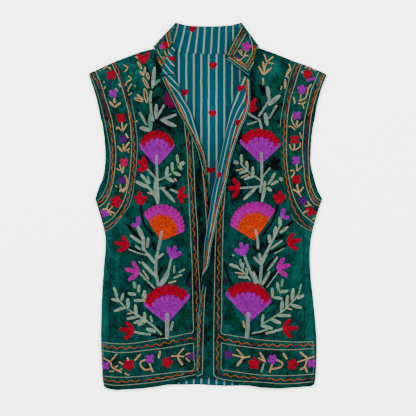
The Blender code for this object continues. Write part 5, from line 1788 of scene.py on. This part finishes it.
class MESH_OT_waistcoat_fronts(bpy.types.Operator):
    """Build both fronts with their linings and facings"""

    bl_idname = "mesh.waistcoat_fronts"
    bl_label = "Fronts"

    def execute(self, context):
        for side in ("left", "right"):
            make_front(side, *velvet_and_cotton(context))
        return {"FINISHED"}


class MESH_OT_waistcoat_embroidery(bpy.types.Operator):
    """Sew the chain-stitch embroidery of the fronts, their rolled edges and the collar"""

    bl_idname = "mesh.waistcoat_embroidery"
    bl_label = "Embroidery"

    def execute(self, context):
        thread = material_named("embroidery thread", thread_material)
        sew_front(
            "left", LEFT_LINES, LEFT_SEAMS, LEFT_ZIGZAGS, LEFT_BLADES,
            LEFT_TULIPS, LEFT_FANS, LEFT_FLOWERS, LEFT_EDGE_ROWS, thread,
        )
        sew_front(
            "right", RIGHT_LINES, RIGHT_SEAMS, RIGHT_ZIGZAGS, RIGHT_BLADES,
            RIGHT_TULIPS, RIGHT_FANS, RIGHT_FLOWERS, RIGHT_EDGE_ROWS, thread,
        )
        sew_collar(thread)
        return {"FINISHED"}


class MESH_OT_waistcoat_collar(bpy.types.Operator):
    """Build the stand collar, which turns back over itself beside the neck"""

    bl_idname = "mesh.waistcoat_collar"
    bl_label = "Collar"

    def execute(self, context):
        make_collar(*velvet_and_cotton(context))
        return {"FINISHED"}


class SCENE_OT_waistcoat_stage(bpy.types.Operator):
    """Lay the floor and set the lights and the camera"""

    bl_idname = "scene.waistcoat_stage"
    bl_label = "Floor, lights and camera"

    def execute(self, context):
        make_floor(context.scene.waistcoat.floor_size)
        make_lights()
        make_camera()
        return {"FINISHED"}


def make_floor(width):
    """A flat floor at the height on which the waistcoat rests."""
    mesh = bpy.data.meshes.new("floor")
    sheet = bmesh.new()
    bmesh.ops.create_grid(sheet, x_segments=2, y_segments=2, size=width / 2)
    sheet.to_mesh(mesh)
    sheet.free()
    mesh.materials.append(floor_material())
    floor = bpy.data.objects.new("floor", mesh)
    bpy.context.scene.collection.objects.link(floor)


def make_lights():
    """Two soft lamps that look at the middle of the waistcoat, and an even white room."""
    for name, place, size, power, color in LIGHTS:
        lamp = bpy.data.lights.new(name, "AREA")
        lamp.shape, lamp.size, lamp.energy, lamp.color = "DISK", size, power, color
        light = bpy.data.objects.new(name, lamp)
        light.location = place
        light.rotation_euler = (-Vector(place)).to_track_quat("-Z", "Y").to_euler()
        bpy.context.scene.collection.objects.link(light)
    world = bpy.data.worlds.new("soft room")
    world.use_nodes = True
    sky = world.node_tree.nodes["Background"]
    sky.inputs["Color"].default_value = (1, 1, 1, 1)
    sky.inputs["Strength"].default_value = WORLD_STRENGTH
    bpy.context.scene.world = world


def make_camera():
    """A long lens straight above, with up on the waistcoat as up in the view."""
    lens = bpy.data.cameras.new("camera")
    lens.sensor_width = SENSOR
    lens.lens = SENSOR * CAMERA_HEIGHT / VIEW_WIDTH
    camera = bpy.data.objects.new("camera", lens)
    camera.location = (*VIEW_CENTRE, CAMERA_HEIGHT)
    bpy.context.scene.collection.objects.link(camera)
    bpy.context.scene.camera = camera


class VIEW3D_PT_waistcoat(bpy.types.Panel):
    """The waistcoat's colours and pieces"""

    bl_label = "Waistcoat"
    bl_idname = "VIEW3D_PT_waistcoat"
    bl_space_type = "VIEW_3D"
    bl_region_type = "UI"
    bl_category = "Waistcoat"

    def draw(self, context):
        for name in CLOTH_PG_sizes.__annotations__:
            self.layout.prop(context.scene.waistcoat, name)
        for maker in OPERATORS:
            self.layout.operator(maker.bl_idname)


# In the order in which they run: the embroidery comes before the cloths it lies on
OPERATORS = (
    MESH_OT_waistcoat_back,
    MESH_OT_waistcoat_embroidery,
    MESH_OT_waistcoat_fronts,
    MESH_OT_waistcoat_collar,
    SCENE_OT_waistcoat_stage,
)


def register():
    """Adds the classes to Blender, and the settings to its scenes."""
    for cls in (CLOTH_PG_sizes, *OPERATORS, VIEW3D_PT_waistcoat):
        bpy.utils.register_class(cls)
    bpy.types.Scene.waistcoat = bpy.props.PointerProperty(type=CLOTH_PG_sizes)


def unregister():
    """Takes away what register added."""
    del bpy.types.Scene.waistcoat
    for cls in (VIEW3D_PT_waistcoat, *reversed(OPERATORS), CLOTH_PG_sizes):
        bpy.utils.unregister_class(cls)


def main():
    """Runs every operator in turn."""
    register()
    for maker in OPERATORS:
        group, name = maker.bl_idname.split(".")
        getattr(getattr(bpy.ops, group), name)()


if __name__ == "__main__":
    main()
